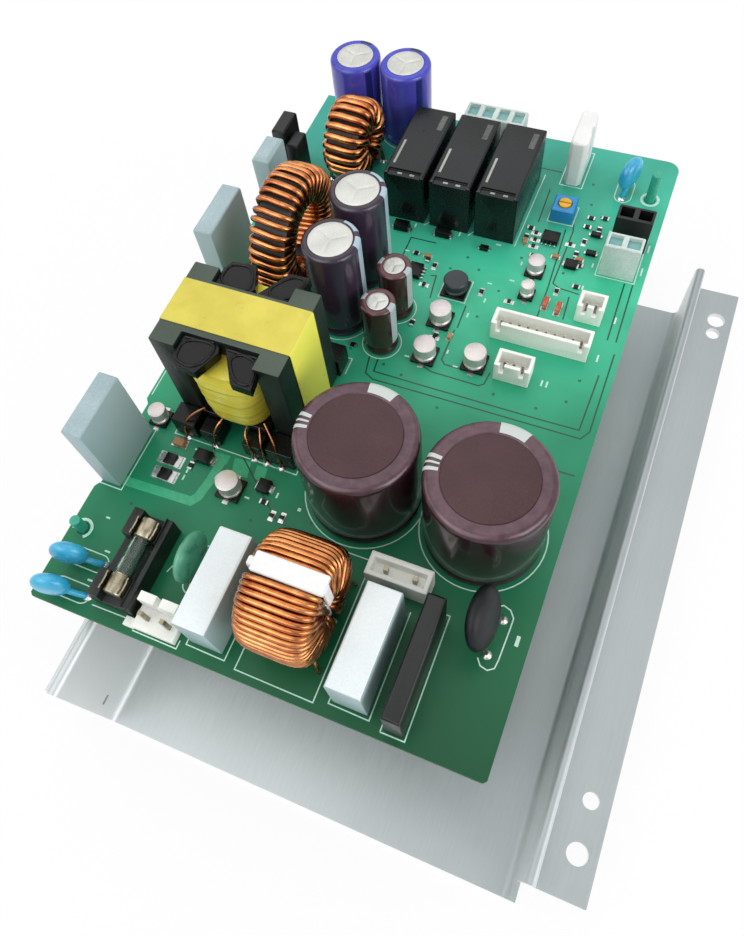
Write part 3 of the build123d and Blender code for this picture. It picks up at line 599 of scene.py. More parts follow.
# punched PVC disc that covers a large lid
pvcDisc = makeFinish(
    "pvcDisc", "40292C", "4C3235", grain=0.6, drift=12.0, depth=0.012, rough=(0.36, 0.46), bump=0.4,
    ior=1.36)
for name, can in cans.items():
    # shrunk PVC sleeve: glossy, very smooth, drawn tight over the shoulder; its upright wall takes
    # the can's side tone, a painted shade on the small and bulk caps and a painted light on the
    # rear and middle caps
    sleeve = makeFinish(
        name + "Pvc", can["dark"], can["light"], side=can["side"], grain=3.0, drift=30.0,
        depth=0.01, rough=(0.16, 0.24), coat=0.2, coatRough=0.06, bump=0.3, ior=1.42)
    places = [upright(x, y) for x, y in can["places"]]
    keepPiece(turned(name + "Sleeves", places, sleeveOutline(can), 64), sleeve,
              [can["nodes"][0]], sharp=50)
    r = can["lid"] / 2
    top = can["height"]
    if name == "bulkCap":
        disc = [(r, top - 0.3), (r, top - 0.1), (r - 0.3, top + 0.02), (0, top + 0.02)]
        keepPiece(turned(name + "Lids", places, disc, 64), pvcDisc,
                  [can["nodes"][1]], sharp=30)
    else:
        keepPiece(scoredLid(name + "Lids", can["places"], r - 0.05, top - 0.02), lidAluminium,
                  [can["nodes"][1]], sharp=60)
    ink = makeFinish(
        name + "Ink", can["stripe"], can["stripe"], grain=1.0, depth=0.005, rough=(0.3, 0.4))
    if can["stripes"]:
        keepPiece(sleevePatch(name + "Stripes", can, can["stripes"], False), ink,
                  sharp=40)
    rimInk = ink
    if name == "rearCap":
        rimInk = makeFinish(
            "blackSleeveInk", "14151F", "1D1E2B", grain=1.0, depth=0.005, rough=(0.3, 0.4))
    keepPiece(sleevePatch(name + "RimMarks", can, can["rimMarks"], True), rimInk,
              sharp=40)
print("capacitors made")

# wound rings: one wire laid round a ring that stands on edge, axis along X; the names are those
# of the inputs of the winding's node tree, angles in degrees from the top, lengths in mm
windings = {
    "smallRing": {
        "Centre": (23.8, 163.8, 12.3), "Ring Radius": 8.5, "Half Width": 5.7, "Half Height": 2.7,
        "Wire Radius": 1.06, "Turns": 20.0, "First Angle": -162.0, "Last Angle": 162.0,
        "Squareness": 0.62, "Lean": 7.0, "Wobble": 1.8, "Layers": 2.0,
    },
    "largeRing": {
        "Centre": (24.8, 117.5, 18.4), "Ring Radius": 13.3, "Half Width": 5.6, "Half Height": 4.3,
        "Wire Radius": 0.82, "Turns": 36.0, "First Angle": -166.0, "Last Angle": 166.0,
        "Squareness": 0.6, "Lean": 6.0, "Wobble": 3.0, "Layers": 1.0,
    },
}
choke = {
    "Centre": (68.4, 20.2, 14.6), "Ring Radius": 9.7, "Half Width": 8.5, "Half Height": 4.2,
    "Wire Radius": 0.78, "Squareness": 0.46, "Lean": 0.0, "Wobble": 1.2, "Layers": 3.0,
}
windings["chokeRear"] = {**choke, "Turns": 22.0, "First Angle": -164.0, "Last Angle": -10.0}
windings["chokeFront"] = {**choke, "Turns": 23.0, "First Angle": 7.0, "Last Angle": 164.0}
lengths = ("Ring Radius", "Half Width", "Half Height", "Wire Radius")


def makeWindingTree():
    tree = bpy.data.node_groups.new("ringWinding", "GeometryNodeTree")
    numbers = ("Turns", "First Angle", "Last Angle", *lengths, "Squareness", "Lean", "Wobble",
               "Layers")
    for label, kind in (("Geometry", "Geometry"), *((label, "Float") for label in numbers),
                        ("Points", "Int"), ("Seed", "Float"), ("Centre", "Vector"),
                        ("Material", "Material")):
        tree.interface.new_socket(label, in_out="INPUT", socket_type="NodeSocket" + kind)
    tree.interface.new_socket("Geometry", in_out="OUTPUT", socket_type="NodeSocketGeometry")
    given = addNode(tree, "NodeGroupInput").outputs
    line = addNode(tree, "GeometryNodeCurvePrimitiveLine", {"End": (1.0, 0.0, 0.0)})
    dots = addNode(tree, "GeometryNodeResampleCurve", links={"Curve": line,
                                                             "Count": given["Points"]})
    waver = addNode(tree, "ShaderNodeTexNoise", {"Scale": 0.55, "Detail": 1.0},
                    noise_dimensions="1D")
    found = {socket.name: socket for socket in given}
    found["part"] = addNode(tree, "GeometryNodeSplineParameter").outputs["Factor"]
    found["rough"] = waver
    sums = (
        ("span", "SUBTRACT", "Last Angle", "First Angle"),
        ("goneRound", "MULTIPLY_ADD", "part", "span", "First Angle"),
        ("turn", "MULTIPLY", "part", "Turns"),
        ("section", "MULTIPLY", "turn", 2 * math.pi),
        ("cosine", "COSINE", "section"),
        ("sine", "SINE", "section"),
        ("cosineSign", "SIGN", "cosine"),
        ("cosineSize", "ABSOLUTE", "cosine"),
        ("cosineBent", "POWER", "cosineSize", "Squareness"),
        ("wide", "MULTIPLY", "cosineSign", "cosineBent"),
        ("sineSign", "SIGN", "sine"),
        ("sineSize", "ABSOLUTE", "sine"),
        ("sineBent", "POWER", "sineSize", "Squareness"),
        ("tall", "MULTIPLY", "sineSign", "sineBent"),
        # inside the hole there is less room, so every few turns one lies over the others,
        # 1.7 wire radii nearer to the hole's middle
        ("count", "ADD", "turn", 0.75),
        ("whole", "FLOOR", "count"),
        ("layer", "MODULO", "whole", "Layers"),
        ("inward", "MULTIPLY_ADD", "tall", -0.5, 0.5),
        ("raised", "MULTIPLY", "layer", "inward"),
        ("piled", "MULTIPLY", "raised", "Wire Radius"),
        ("slant", "MULTIPLY", "wide", "Lean"),
        ("halfSlant", "MULTIPLY", "slant", 0.5),
        ("seeded", "ADD", "turn", "Seed"),
        ("reach", "MULTIPLY_ADD", "tall", "Half Height", "Ring Radius"),
        ("piledTwice", "MULTIPLY", "piled", 1.7),
        ("nearer", "SUBTRACT", "reach", "piledTwice"),
        ("sideways", "ADD", "Half Width", "piled"),
        ("across", "MULTIPLY", "wide", "sideways"),
        ("centred", "SUBTRACT", "rough", 0.5),
        ("drift", "MULTIPLY", "centred", "Wobble"),
        ("drifted", "ADD", "goneRound", "drift"),
        ("turned", "ADD", "drifted", "halfSlant"),
        ("angle", "RADIANS", "turned"),
        ("up", "COSINE", "angle"),
        ("forward", "SINE", "angle"),
        ("height", "MULTIPLY", "nearer", "up"),
        ("depth", "MULTIPLY", "nearer", "forward"),
        ("ahead", "MULTIPLY", "depth", -1.0),
    )
    for label, operation, *parts in sums:
        found[label] = addNode(
            tree, "ShaderNodeMath",
            {i: part for i, part in enumerate(parts) if not isinstance(part, str)},
            {i: found[part] for i, part in enumerate(parts) if isinstance(part, str)},
            operation=operation)
    plug(tree, waver, {"W": found["seeded"]})
    place = addNode(tree, "ShaderNodeCombineXYZ", links={
        "X": found["across"], "Y": found["ahead"], "Z": found["height"]})
    moved = addNode(tree, "ShaderNodeVectorMath", links={0: place, 1: given["Centre"]},
                    operation="ADD")
    bent = addNode(tree, "GeometryNodeSetPosition", links={"Geometry": dots, "Position": moved})
    ring = addNode(tree, "GeometryNodeCurvePrimitiveCircle", {"Resolution": 8},
                   {"Radius": given["Wire Radius"]})
    wire = addNode(tree, "GeometryNodeCurveToMesh", {"Fill Caps": True},
                   {"Curve": bent, "Profile Curve": ring})
    smooth = addNode(tree, "GeometryNodeSetShadeSmooth", links={0: wire})
    real = addNode(tree, "GeometryNodeRealizeInstances", links={0: smooth})
    coloured = addNode(tree, "GeometryNodeSetMaterial", links={
        "Geometry": real, "Material": given["Material"]})
    addNode(tree, "NodeGroupOutput", links={0: coloured})
    return tree


windingTree = makeWindingTree()


def woundWire(name, winding, material, seed):
    carrier = inScene(name + "Draft", bpy.data.meshes.new(name + "Draft"))
    layer = carrier.modifiers.new("winding", "NODES")
    layer.node_group = windingTree
    values = {
        **winding, "Centre": onBoard(*winding["Centre"]), "Points": int(winding["Turns"] * 28),
        "Seed": seed, "Material": material,
    }
    for label in lengths:
        values[label] *= mm
    for socket in windingTree.interface.items_tree:
        if socket.in_out == "INPUT" and socket.name in values:
            layer[socket.identifier] = values[socket.name]
    return settled(name, carrier)


# copper with polyurethane enamel: warm metal under a thin clear coat, so glints run along it
enamelledCopper = makeFinish(
    "enamelledCopper", "A0582C", "D08C52", grain=2.5, drift=14.0, depth=0.01, rough=(0.2, 0.3),
    metal=1.0, coat=0.4, coatRough=0.1, bump=0.3)
for seed, (name, node) in enumerate((
        ("smallRing", "small_ring_winding"), ("largeRing", "large_ring_winding"),
        ("chokeRear", "choke_rear_winding"), ("chokeFront", "choke_front_winding"))):
    piece = woundWire(name + "Wire", windings[name], enamelledCopper, float(seed * 7 + 3))
    keepPiece(piece, enamelledCopper, [node])
# pressed powder core under black epoxy
epoxyCore = makeFinish(
    "epoxyCoatedCore", "141614", "23261F", grain=0.8, depth=0.04, rough=(0.5, 0.65))
for node in ("small_ring_core", "large_ring_core", "choke_core"):
    dress(node, epoxyCore)
# glass filled nylon, off white
nylonWhite = makeFinish(
    "whiteNylon", "E6E8E6", "F0F1EF", grain=0.7, depth=0.015, rough=(0.42, 0.55))
# a band over the top with a lug at its left, a web in the hole and a strap below
divider = [(61.0, 18.9, 28.3, 17.2, 4.7, 1.5), (59.6, 20.0, 28.0, 2.4, 2.2, 1.1),
           (77.3, 19.6, 20.4, 1.2, 2.4, 8.8), (59.6, 19.9, 20.4, 1.0, 1.8, 8.2),
           (60.0, 19.7, 10.4, 17.2, 1.2, 8.4), (60.4, 18.4, 0.1, 16.4, 3.6, 0.9)]
keepPiece(boxes("chokeDivider", divider, 0.45), nylonWhite, ["choke_divider"])
# each leg stands upright to a height, then leans over to its winding
legs = [[(x, y, 0), (x, y, height), end] for x, y, height, end in (
    (17.0, 157.6, 3.5, (18.2, 158.2, 7.0)), (30.6, 169.6, 3.5, (29.4, 169.0, 7.0)),
    (18.4, 107.6, 4.0, (19.6, 108.4, 8.6)), (31.9, 127.6, 4.0, (30.8, 126.6, 8.6)),
    (59.5, 8.8, 2.0, (60.4, 10.4, 5.2)), (77.4, 8.8, 2.0, (76.4, 10.4, 5.2)),
    (59.5, 31.6, 2.0, (60.4, 30.0, 5.2)), (77.4, 31.6, 2.0, (76.4, 30.0, 5.2)))]
keepPiece(wires("ringLegs", legs, 0.56), enamelledCopper)
print("rings wound")

# transformer: two E shaped ferrite halves, a moulded bobbin, taped coils
# sintered ferrite: dark grey green ceramic, ground flat, with a fine bright speckle; its upright
# faces are painted darker, a painted shade
ferrite = makeFinish(
    "sinteredFerrite", "374238", "4A574A", grain=0.35, drift=20.0, depth=0.01, rough=(0.34, 0.5),
    bump=0.3, side="161E1A", ior=1.42)
keepSoftened("transformer_core", "ferriteCore", 0.35, ferrite)
# yellow polyester tape: smooth, slightly translucent film over the layers below; its upright faces
# are painted lighter, a painted light
polyesterTape = makeFinish(
    "yellowPolyesterTape", "C8B92F", "D8CA42", side="EEEA58", grain=6.0, drift=10.0, depth=0.02,
    rough=(0.26, 0.4), coat=0.25, coatRough=0.15, bump=0.3)
# the same tape over the coil, creased by the wires under it
coilTape = makeFinish(
    "creasedCoilTape", "F0DC40", "FFF266", grain=1.4, drift=7.0, depth=0.18,
    stretch=(0.12, 0.12, 1.0), rough=(0.2, 0.36), coat=0.35, coatRough=0.1, bump=0.8)
# black phenolic moulding, dull with sharp moulded corners
phenolic = makeFinish(
    "blackPhenolic", "070907", "0E100D", grain=0.6, depth=0.02, rough=(0.22, 0.34), ior=1.32)
# pin lugs with gaps between them, flanges, and the wings that lie in the core's openings
bobbin = {
    "lugs": [(14.0, 7.2, 6.6), (22.4, 5.6, 5.4), (35.2, 5.6, 5.4), (42.4, 7.8, 6.6)],
    "front": 55.2, "rear": 92.8, "reach": 6.2, "middle": 74.0,
    "wingLow": 31.4, "wingTop": 34.3, "rimShare": 0.82, "rimWire": 0.42,
    "wings": [[(21.7, 66.2), (31.0, 67.0), (32.4, 64.0), (29.4, 56.9), (22.9, 57.8), (21.7, 60.0)],
              [(32.9, 66.2), (42.3, 66.2), (43.8, 60.7), (44.4, 56.7), (38.8, 56.9)]],
}
lots = [(22.0, 60.0, 6.62, 20.0, 28.0, 1.9)]
for x, w, h in bobbin["lugs"]:
    for y in (bobbin["front"], bobbin["rear"] - bobbin["reach"]):
        lots.append((x, y, 0.3, w, bobbin["reach"], h))
keepPiece(boxes("bobbinFoot", lots, 0.35), phenolic, ["transformer_bobbin"])


def plates(name, outlines, low, high, bevel):
    vertices = []
    faces = []
    for outline in outlines:
        first = len(vertices)
        n = len(outline)
        vertices += [onBoard(x, y, low) for x, y in outline]
        vertices += [onBoard(x, y, high) for x, y in outline]
        faces.append(tuple(first + i for i in range(n)))
        faces.append(tuple(first + n + i for i in range(n)))
        faces += [(first + i, first + (i + 1) % n, first + n + (i + 1) % n, first + n + i)
                  for i in range(n)]
    return rounded(name, faceOut(newObject(name + "Draft", vertices, faces)), bevel)


# each wing and the rim on it, once in front of the core's middle and once behind it
wings = []
rims = []
across = bobbin["middle"]
share = bobbin["rimShare"]
for outline in bobbin["wings"]:
    cx, cy = (sum(place) / len(outline) for place in zip(*outline))
    for way in (1, -1):
        around = [(x, across + way * (y - across)) for x, y in outline]
        wings.append(around)
        centre = across + way * (cy - across)
        rims.append([(cx + share * (x - cx), centre + share * (y - centre), bobbin["wingTop"])
                     for x, y in around + around[:2]])
keepPiece(plates("bobbinWings", wings, bobbin["wingLow"], bobbin["wingTop"], 0.25), phenolic)
keepPiece(wires("wingRims", rims, bobbin["rimWire"]), phenolic)
coil = {
    "centre": (31.6, bobbin["middle"]), "low": 8.55, "high": 29.9, "halfWidth": 11.0,
    "halfDepth": 14.9, "widePower": 0.55, "deepPower": 0.8, "sag": 1.2, "layers": 4,
    "tuck": 0.04, "lip": 0.02, "waist": 0.14, "rows": 40, "steps": 96,
}


def makeCoil(name, look):
    # taped coil, bulging through the core's openings, with a lip at each turn of tape
    cx, cy = look["centre"]
    steps = look["steps"]
    rings = []
    vertices = []
    faces = []
    for k in range(look["rows"] + 1):
        part = k / look["rows"]
        z = look["low"] + (look["high"] - look["low"]) * part
        lip = (part * look["layers"]) % 1.0
        swell = 1.0 - look["tuck"] * (2 * part - 1) ** 4 + look["lip"] * (1 - lip)
        pull = 1.0 - look["waist"] * (1 - part) ** 2
        row = []
        for i in range(steps):
            turn = 2 * math.pi * i / steps
            c = math.cos(turn)
            s = math.sin(turn)
            wide = math.copysign(abs(c) ** look["widePower"], c) * look["halfWidth"] * pull
            deep = math.copysign(abs(s) ** look["deepPower"], s) * look["halfDepth"] * swell
            dip = look["sag"] * (abs(s) ** 2) * (1 - abs(2 * part - 1))
            row.append(len(vertices))
            vertices.append(onBoard(cx + wide, cy + deep, z - dip))
        rings.append(row)
    for low, high in zip(rings, rings[1:]):
        for i in range(steps):
            j = (i + 1) % steps
            faces.append((low[i], low[j], high[j], high[i]))
    faces += [tuple(reversed(rings[0])), tuple(rings[-1])]
    return newObject(name, vertices, faces)


keepPiece(makeCoil("tapedCoil", coil), coilTape, ["transformer_winding"], sharp=60)
band = {
    "line": [(14.28, 1.2), (14.18, 20.0), (14.2, 35.2), (14.5, 35.72), (24.0, 35.78),
             (40.0, 35.78), (49.5, 35.72), (49.8, 35.2), (49.82, 20.0), (49.72, 1.2)],
    "near": 67.6, "far": 80.9, "thick": 0.16,
}


# a film of tape, from a line in X and Z and its two edges along Y
def tapeBand(name, look):
    vertices = []
    for x, z in look["line"]:
        vertices += [onBoard(x, look["near"], z), onBoard(x, look["far"], z)]
    faces = [(a, a + 2, a + 3, a + 1) for a in range(0, len(vertices) - 2, 2)]
    piece = newObject(name + "Draft", vertices, faces)
    wall = piece.modifiers.new("film", "SOLIDIFY")
    wall.thickness = look["thick"] * mm
    wall.offset = -1.0
    return settled(name, piece)


keepPiece(tapeBand("tapeBand", band), polyesterTape, ["transformer_tape"], sharp=30)
ends = [
    [(23.6, 59.6, 11.0), (21.0, 58.4, 9.6), (18.4, 56.2, 7.2), (17.6, 54.8, 4.0), (17.5, 54.5, 0)],
    [(28.6, 59.2, 8.9), (28.0, 56.8, 8.8), (26.6, 55.2, 5.0), (26.2, 54.6, 0)],
    [(36.0, 59.2, 8.9), (36.2, 56.8, 9.2), (37.8, 55.2, 6.2), (38.2, 54.6, 3.0), (38.2, 54.5, 0)],
    [(39.6, 59.6, 9.4), (40.8, 57.0, 9.0), (41.6, 55.0, 5.4), (41.8, 54.5, 0)],
    [(41.2, 60.2, 12.0), (43.8, 58.0, 10.0), (46.0, 55.6, 6.4), (46.4, 54.5, 0)],
]
keepPiece(wires("coilEnds", ends, 0.32), enamelledCopper, ["transformer_leads"])
print("transformer made")

# relays: sealed black cases with a moulded step at the front
# PBT moulding with a fine spark texture, faint grey where it catches light
relayCase = makeFinish(
    "relayPbt", "0C0F10", "191E20", grain=0.5, depth=0.02, rough=(0.22, 0.34), bump=0.35, ior=1.38)
keepSoftened("relays", "relayCases", 0.45, relayCase, segments=3)
# pad printed marks on the relays, and the fields where print has faded
paleInk = makeFinish("padPrintedInk", "8E9188", "B4B6AC", grain=0.5, depth=0.004, rough=(0.5, 0.6))
# three relays side by side; print lies just clear of the top and of the step in front
relay = {"first": 40.25, "pitch": 14.22, "top": 17.7, "clear": 17.71, "step": 16.91}
stripes = []
dots = []
fields = []
for i in range(3):
    x = relay["first"] + relay["pitch"] * i
    stripes += [(x + 1.5, 151.6, relay["clear"], 0.7, 10.0, 0.02),
                (x + 4.0, 148.4, relay["step"], 1.4, 0.7, 0.02),
                (x + 7.8, 148.4, relay["step"], 1.4, 0.7, 0.02)]
    fields.append((x + 9.2, 168.0, relay["clear"], 1.7, 6.4, 0.015))
    dots.append(upright(x + 6.2, 166.4, relay["top"]))
keepPiece(boxes("relayStripes", stripes), paleInk)
greyInk = makeFinish("fadedGreyInk", "3D423F", "6A6F69", grain=0.9, depth=0.004, rough=(0.5, 0.6))
keepPiece(boxes("relayFields", fields), greyInk)
gate = [(0.75, 0.0), (0.6, 0.06), (0.2, 0.06), (0, 0.02)]
keepPiece(turned("relayGates", dots, gate, 20), relayCase, sharp=40)
print("relays made")

# film capacitors, filter capacitors and other cast blocks
# epoxy filled PBT boxes, blue grey, dead smooth with a soft shine; upright faces take their own
# tone, a painted light a little lighter on the grey boxes and a painted shade of grey teal on the
# white boxes
greyBox = makeFinish(
    "greyPbtBox", "94AAB0", "AABFC4", grain=0.6, drift=14.0, depth=0.015, rough=(0.36, 0.48),
    side="A4BDC2")
whiteBox = makeFinish(
    "whitePbtBox", "DCE6E8", "E9F0F1", grain=0.6, drift=14.0, depth=0.015, rough=(0.36, 0.48),
    side="9DB6B8")
# glass filled thermoplastic, moulded black
blackMoulding = makeFinish(
    "blackThermoplastic", "0E1110", "1A1E1C", grain=0.6, depth=0.02, rough=(0.28, 0.42), ior=1.42)
keepSoftened("film_caps", "filmCaps", 0.5, greyBox, segments=3)
keepSoftened("line_filter_caps", "filterCaps", 0.6, whiteBox, segments=3)
keepSoftened("rear_blocks", "rearBlocks", 0.4, blackMoulding)
keepSoftened("bridge_rectifier", "bridge", 0.3, blackMoulding)
# steatite case filled with cement: chalky white
cement = makeFinish(
    "whiteCementCase", "E2E3E1", "F0F0EF", grain=0.5, drift=8.0, depth=0.03, rough=(0.6, 0.75))
keepSoftened("cement_resistor", "cementResistor", 0.5, cement, segments=3)
print("blocks made")

# fuse: black holder, two clips, a glass tube with nickel plated caps and a thin wire
fuse = {"centre": (24.4, 16.8, 7.2), "glass": 2.4, "cap": 2.6, "half": 4.9, "end": 5.4,
        "clips": (9.2, 24.4), "clipHalf": 2.9}
keepSoftened("fuse_holder", "fuseHolder", 0.45, blackMoulding)
# nickel plate, slightly yellow
nickel = makeFinish(
    "nickelPlate", "877F6B", "A79F8B", grain=1.5, depth=0.01, rough=(0.24, 0.36), metal=1.0)
dress("fuse_clips", nickel)
dress("header_pins", nickel)
alongY = upright(*fuse["centre"]) @ rotated(-90, "X")
half = fuse["half"]
end = half + fuse["end"]
r = fuse["cap"]
cap = [(0, end), (r - 0.5, end), (r - 0.1, end - 0.15), (r, end - 0.6), (r, half + 0.5),
       (r - 0.12, half + 0.3), (r, half + 0.1), (r - 0.15, half), (0, half)]
for i, way in enumerate((-1, 1)):
    line = [(q, way * z) for q, z in cap[::-way]]
    keepPiece(turned("fuseCap" + str(i), [alongY], line, 32), nickel,
              () if i else ["fuse_ends"], sharp=40)
# clear soda glass
tubeGlass, tree, shader = newMaterial("sodaGlass")
for label, value in (("Base Color", linear("C4DCD0")), ("Roughness", 0.04),
                     ("Transmission Weight", 1.0), ("IOR", 1.45)):
    shader.inputs[label].default_value = value
r = fuse["glass"]
tube = [(r - 0.5, -half), (r, -half), (r, half), (r - 0.5, half), (r - 0.5, -half)]
keepPiece(turned("fuseTube", [alongY], tube, 32), tubeGlass, ["fuse_glass"], sharp=40)
x, y, z = fuse["centre"]
fuseWire = [[(x, y - half, z), (x + 0.2, y, z - 0.5), (x, y + half, z)]]
keepPiece(wires("fuseElement", fuseWire, 0.18), nickel)
lips = [(x + side * fuse["clipHalf"] - 0.2, y + end, 9.0, 0.4, 1.2, 0.7)
        for y in fuse["clips"] for side in (-1, 1) for end in (-2.6, 1.0)]
keepPiece(boxes("clipLips", lips, 0.12), nickel)
print("fuse made")


# dipped discs: a thick lens with a coated leg or two, laid over the board
def lens(name, place, radius, thick):
    rows = 12
    fullness = 0.62  # 1 is an ellipse, less is flatter with rounder edges
    outline = []
    for i in range(rows + 1):
        turn = math.pi * (i / rows - 0.5)
        outline.append((radius * abs(math.cos(turn)) ** fullness, thick / 2 * math.sin(turn)))
    outline[0] = (0, -thick / 2)
    outline[-1] = (0, thick / 2)
    return turned(name, [place], outline, 40)


# dipped epoxy, glossy with slow waves from the dipping
blueDip = makeFinish(
    "blueEpoxyDip", "2A9CC8", "46B9DE", grain=5.0, drift=9.0, depth=0.25, rough=(0.22, 0.34),
    coat=0.2, bump=0.35)
greenDip = makeFinish(
    "greenEpoxyDip", "3E8768", "62B290", grain=4.0, drift=9.0, depth=0.25, rough=(0.24, 0.36),
    coat=0.2, bump=0.35)
blackDip = makeFinish(
    "blackSiliconeDip", "080C0E", "12171A", grain=3.0, drift=9.0, depth=0.2, rough=(0.42, 0.55),
    bump=0.35, ior=1.34)
frontRows = (12.7, 3.9)
blueDiscs = [(upright(7.6, y - 0.4, 6.1) @ rotated(16, "Z") @ rotated(90, "X"), 4.3)
             for y in frontRows]
blueDiscs.append((upright(107.6, 178.7, 6.8) @ rotated(-22, "Z") @ rotated(90, "Y"), 4.2))
for i, (place, thick) in enumerate(blueDiscs):
    keepPiece(lens("blueDisc" + str(i), place, 4.9, thick), blueDip,
              () if i else ["blue_discs"], sharp=40)
blueLegs = []
for y in frontRows:
    blueLegs += [[(10.6, y, 4.2), (12.6, y + 0.3, 2.8), (14.2, y + 0.8, 1.3),
                  (14.6, y + 0.9, 0.6), (14.7, y + 0.9, 0.5)],
                 [(5.6, y, 3.6), (4.8, y + 0.4, 1.8), (4.5, y + 0.8, 0.6)]]
blueLegs += [[(107.6, 176.4, 3.8), (107.3, 175.4, 2.0), (106.9, 175.2, 0.6)],
             [(107.6, 180.6, 3.8), (107.4, 181.6, 2.0), (107.2, 181.8, 0.6)]]
keepPiece(wires("blueLegs", blueLegs, 0.85), blueDip)
keepPiece(lens("varistorDisc", upright(38.8, 21.6, 8.8) @ rotated(90, "Y"), 6.8, 4.0),
          greenDip, ["varistor"], sharp=40)
keepPiece(lens("thermistorDisc", upright(109.4, 31.2, 12.4) @ rotated(72, "Y"), 7.7, 4.8),
          blackDip, ["thermistor"], sharp=40)
darkLegs = [
    [(38.8, 18.2, 4.4), (38.6, 17.6, 2.0), (38.4, 17.4, 0.4)],
    [(38.8, 25.0, 4.4), (39.0, 25.4, 2.0), (39.2, 25.6, 0.4)]]
keepPiece(wires("varistorLegs", darkLegs, 0.5), greenDip)
bareLegs = [
    [(110.9, 28.2, 7.4), (111.8, 27.0, 4.0), (112.4, 26.8, 0.3)],
    [(110.9, 34.0, 7.4), (112.6, 35.6, 4.0), (113.4, 36.0, 0.3)]]
keepPiece(wires("thermistorLegs", bareLegs, 0.45), nickel)
print("discs made")

# trimmer: blue body, yellow slotted rotor that turns
# blue PBT body and yellow nylon rotor, both moulded
trimmerBlue = makeFinish("bluePbt", "1F82C4", "3399D8", grain=0.5, depth=0.02, rough=(0.36, 0.5))
trimmerYellow = makeFinish(
    "yellowNylon", "E2A81C", "F2C33A", grain=0.5, depth=0.02, rough=(0.4, 0.5))
keepSoftened("trimmer_body", "trimmerCase", 0.22, trimmerBlue)
keepSoftened(
    "trimmer_rotor", "trimmerScrew", 0.14, trimmerYellow, body="trimmer_rotor")

# connectors: cream nylon wafers, one clear white pair, one black pair
# nylon: opaque cream for the wafers, milky for the clear pair, green for the posts
creamNylon = makeFinish(
    "creamNylon", "EEF0E9", "F8FAF4", grain=0.6, drift=10.0, depth=0.015, rough=(0.4, 0.52))
milkyNylon = makeFinish(
    "milkyNylon", "B9CBC6", "D2DEDA", grain=0.8, drift=6.0, depth=0.015, rough=(0.34, 0.46))
for node, name, width in (("mains_wafer", "mainsWafer", 0.25), ("link_wafer", "linkWafer", 0.3),
                          ("small_headers", "smallHeaders", 0.2)):
    keepSoftened(node, name, width, creamNylon)
for node, name, look, slot in (
        ("black_power_header", "blackHeader", blackMoulding, "black_plastic"),
        ("white_power_header", "whiteHeader", milkyNylon, "cell_plastic"),
        ("rear_header", "rearHeader", milkyNylon, "cell_plastic")):
    keepSoftened(node, name, 0.2, look, joined=False)
# coloured floors in the cells: corner, width, depth, height and number of ways of each header
cells = []
for x, y, w, l, h, count in ((107.6, 144.0, 10.2, 5.6, 12.0, 2),
                             (52.6, 184.6, 19.4, 6.6, 11.0, 4)):
    pitch = w / count
    cells += [(x + i * pitch + 0.85, y + 0.95, h - 1.4, pitch - 1.7, l - 1.9, 0.1)
              for i in range(count)]
# the green board seen through the milky nylon
tealFloor = makeFinish("tealCellFloor", "6FA7A4", "8FBDB9", grain=0.8, depth=0.01, rough=(0.4, 0.5))
keepPiece(boxes("cellFloors", cells), tealFloor)
greenNylon = makeFinish("greenNylon", "2A9476", "3CB096", grain=0.6, depth=0.015, rough=(0.36, 0.5))
keepSoftened("support_posts", "supportPosts", 0.3, greenNylon)
print("connectors made")

# surface parts; of each can the place, width and height
surfaceCans = [(70.0, 114.1, 6.3, 5.8), (70.0, 101.1, 6.3, 5.8), (84.0, 102.9, 6.3, 5.8),
               (36.3, 44.4, 6.3, 5.8), (90.4, 139.5, 5.0, 5.2), (90.6, 130.4, 4.0, 5.0),
               (7.6, 57.4, 5.0, 5.2)]
# drawn aluminium can, satin
satinCan = makeFinish(
    "drawnAluminium", "C9C2C0", "E0D9D7", grain=0.4, drift=6.0, depth=0.01, rough=(0.4, 0.5),
    metal=0.6)
for i, (x, y, d, h) in enumerate(surfaceCans):
    r = d / 2
    line = [(0, 0.9), (r - 0.1, 0.9), (r, 1.1), (r, 1.7), (r - 0.35, 2.1), (r - 0.35, 2.3),
            (r, 2.7), (r, h - 0.5), (r - 0.1, h - 0.15), (r - 0.35, h - 0.02), (0, h - 0.02)]
    keepPiece(turned("surfaceCan" + str(i), [upright(x, y)], line, 36), satinCan,
              () if i else ["surface_cans"], sharp=40)
keepSoftened("surface_can_bases", "canBases", 0.2, phenolic)
drum = [(0, 0.8), (3.2, 0.8), (3.5, 1.0), (3.5, 1.6), (3.1, 1.9), (3.1, 3.4), (3.5, 3.7),
        (3.6, 4.4), (3.3, 4.75), (0, 4.8)]
# pressed nickel zinc ferrite, blue grey
inductorFerrite = makeFinish(
    "inductorFerrite", "20252A", "343B3F", grain=0.5, depth=0.03, rough=(0.4, 0.55))
keepPiece(turned("inductorDrum", [upright(70.5, 126.1)], drum, 40), inductorFerrite,
          ["surface_inductor"], sharp=40)
keepPiece(boxes("inductorBase", [(66.8, 122.4, 0.0, 7.4, 7.4, 0.8)], 0.2), phenolic)
keepSoftened("surface_chips", "chipBodies", 0.12, phenolic)
keepSoftened("surface_terminals", "chipTerminals", 0.06, tinSolder)
keepSoftened("surface_resistors", "resistorBodies", 0.06, phenolic)
# fired ceramic, tan, and the orange glass of the diodes
tanBody = makeFinish("tanCeramic", "9C7247", "B88C5E", grain=0.4, depth=0.02, rough=(0.4, 0.5))
keepSoftened("chip_caps", "chipCapBodies", 0.1, tanBody)
orangeGlass = makeFinish(
    "orangeGlassBody", "B5452A", "D9683C", grain=0.8, depth=0.01, rough=(0.1, 0.2), coat=0.5)
keepSoftened("glass_diodes", "diodeBodies", 0.1, orangeGlass)
dress("solder_joints", tinSolder)

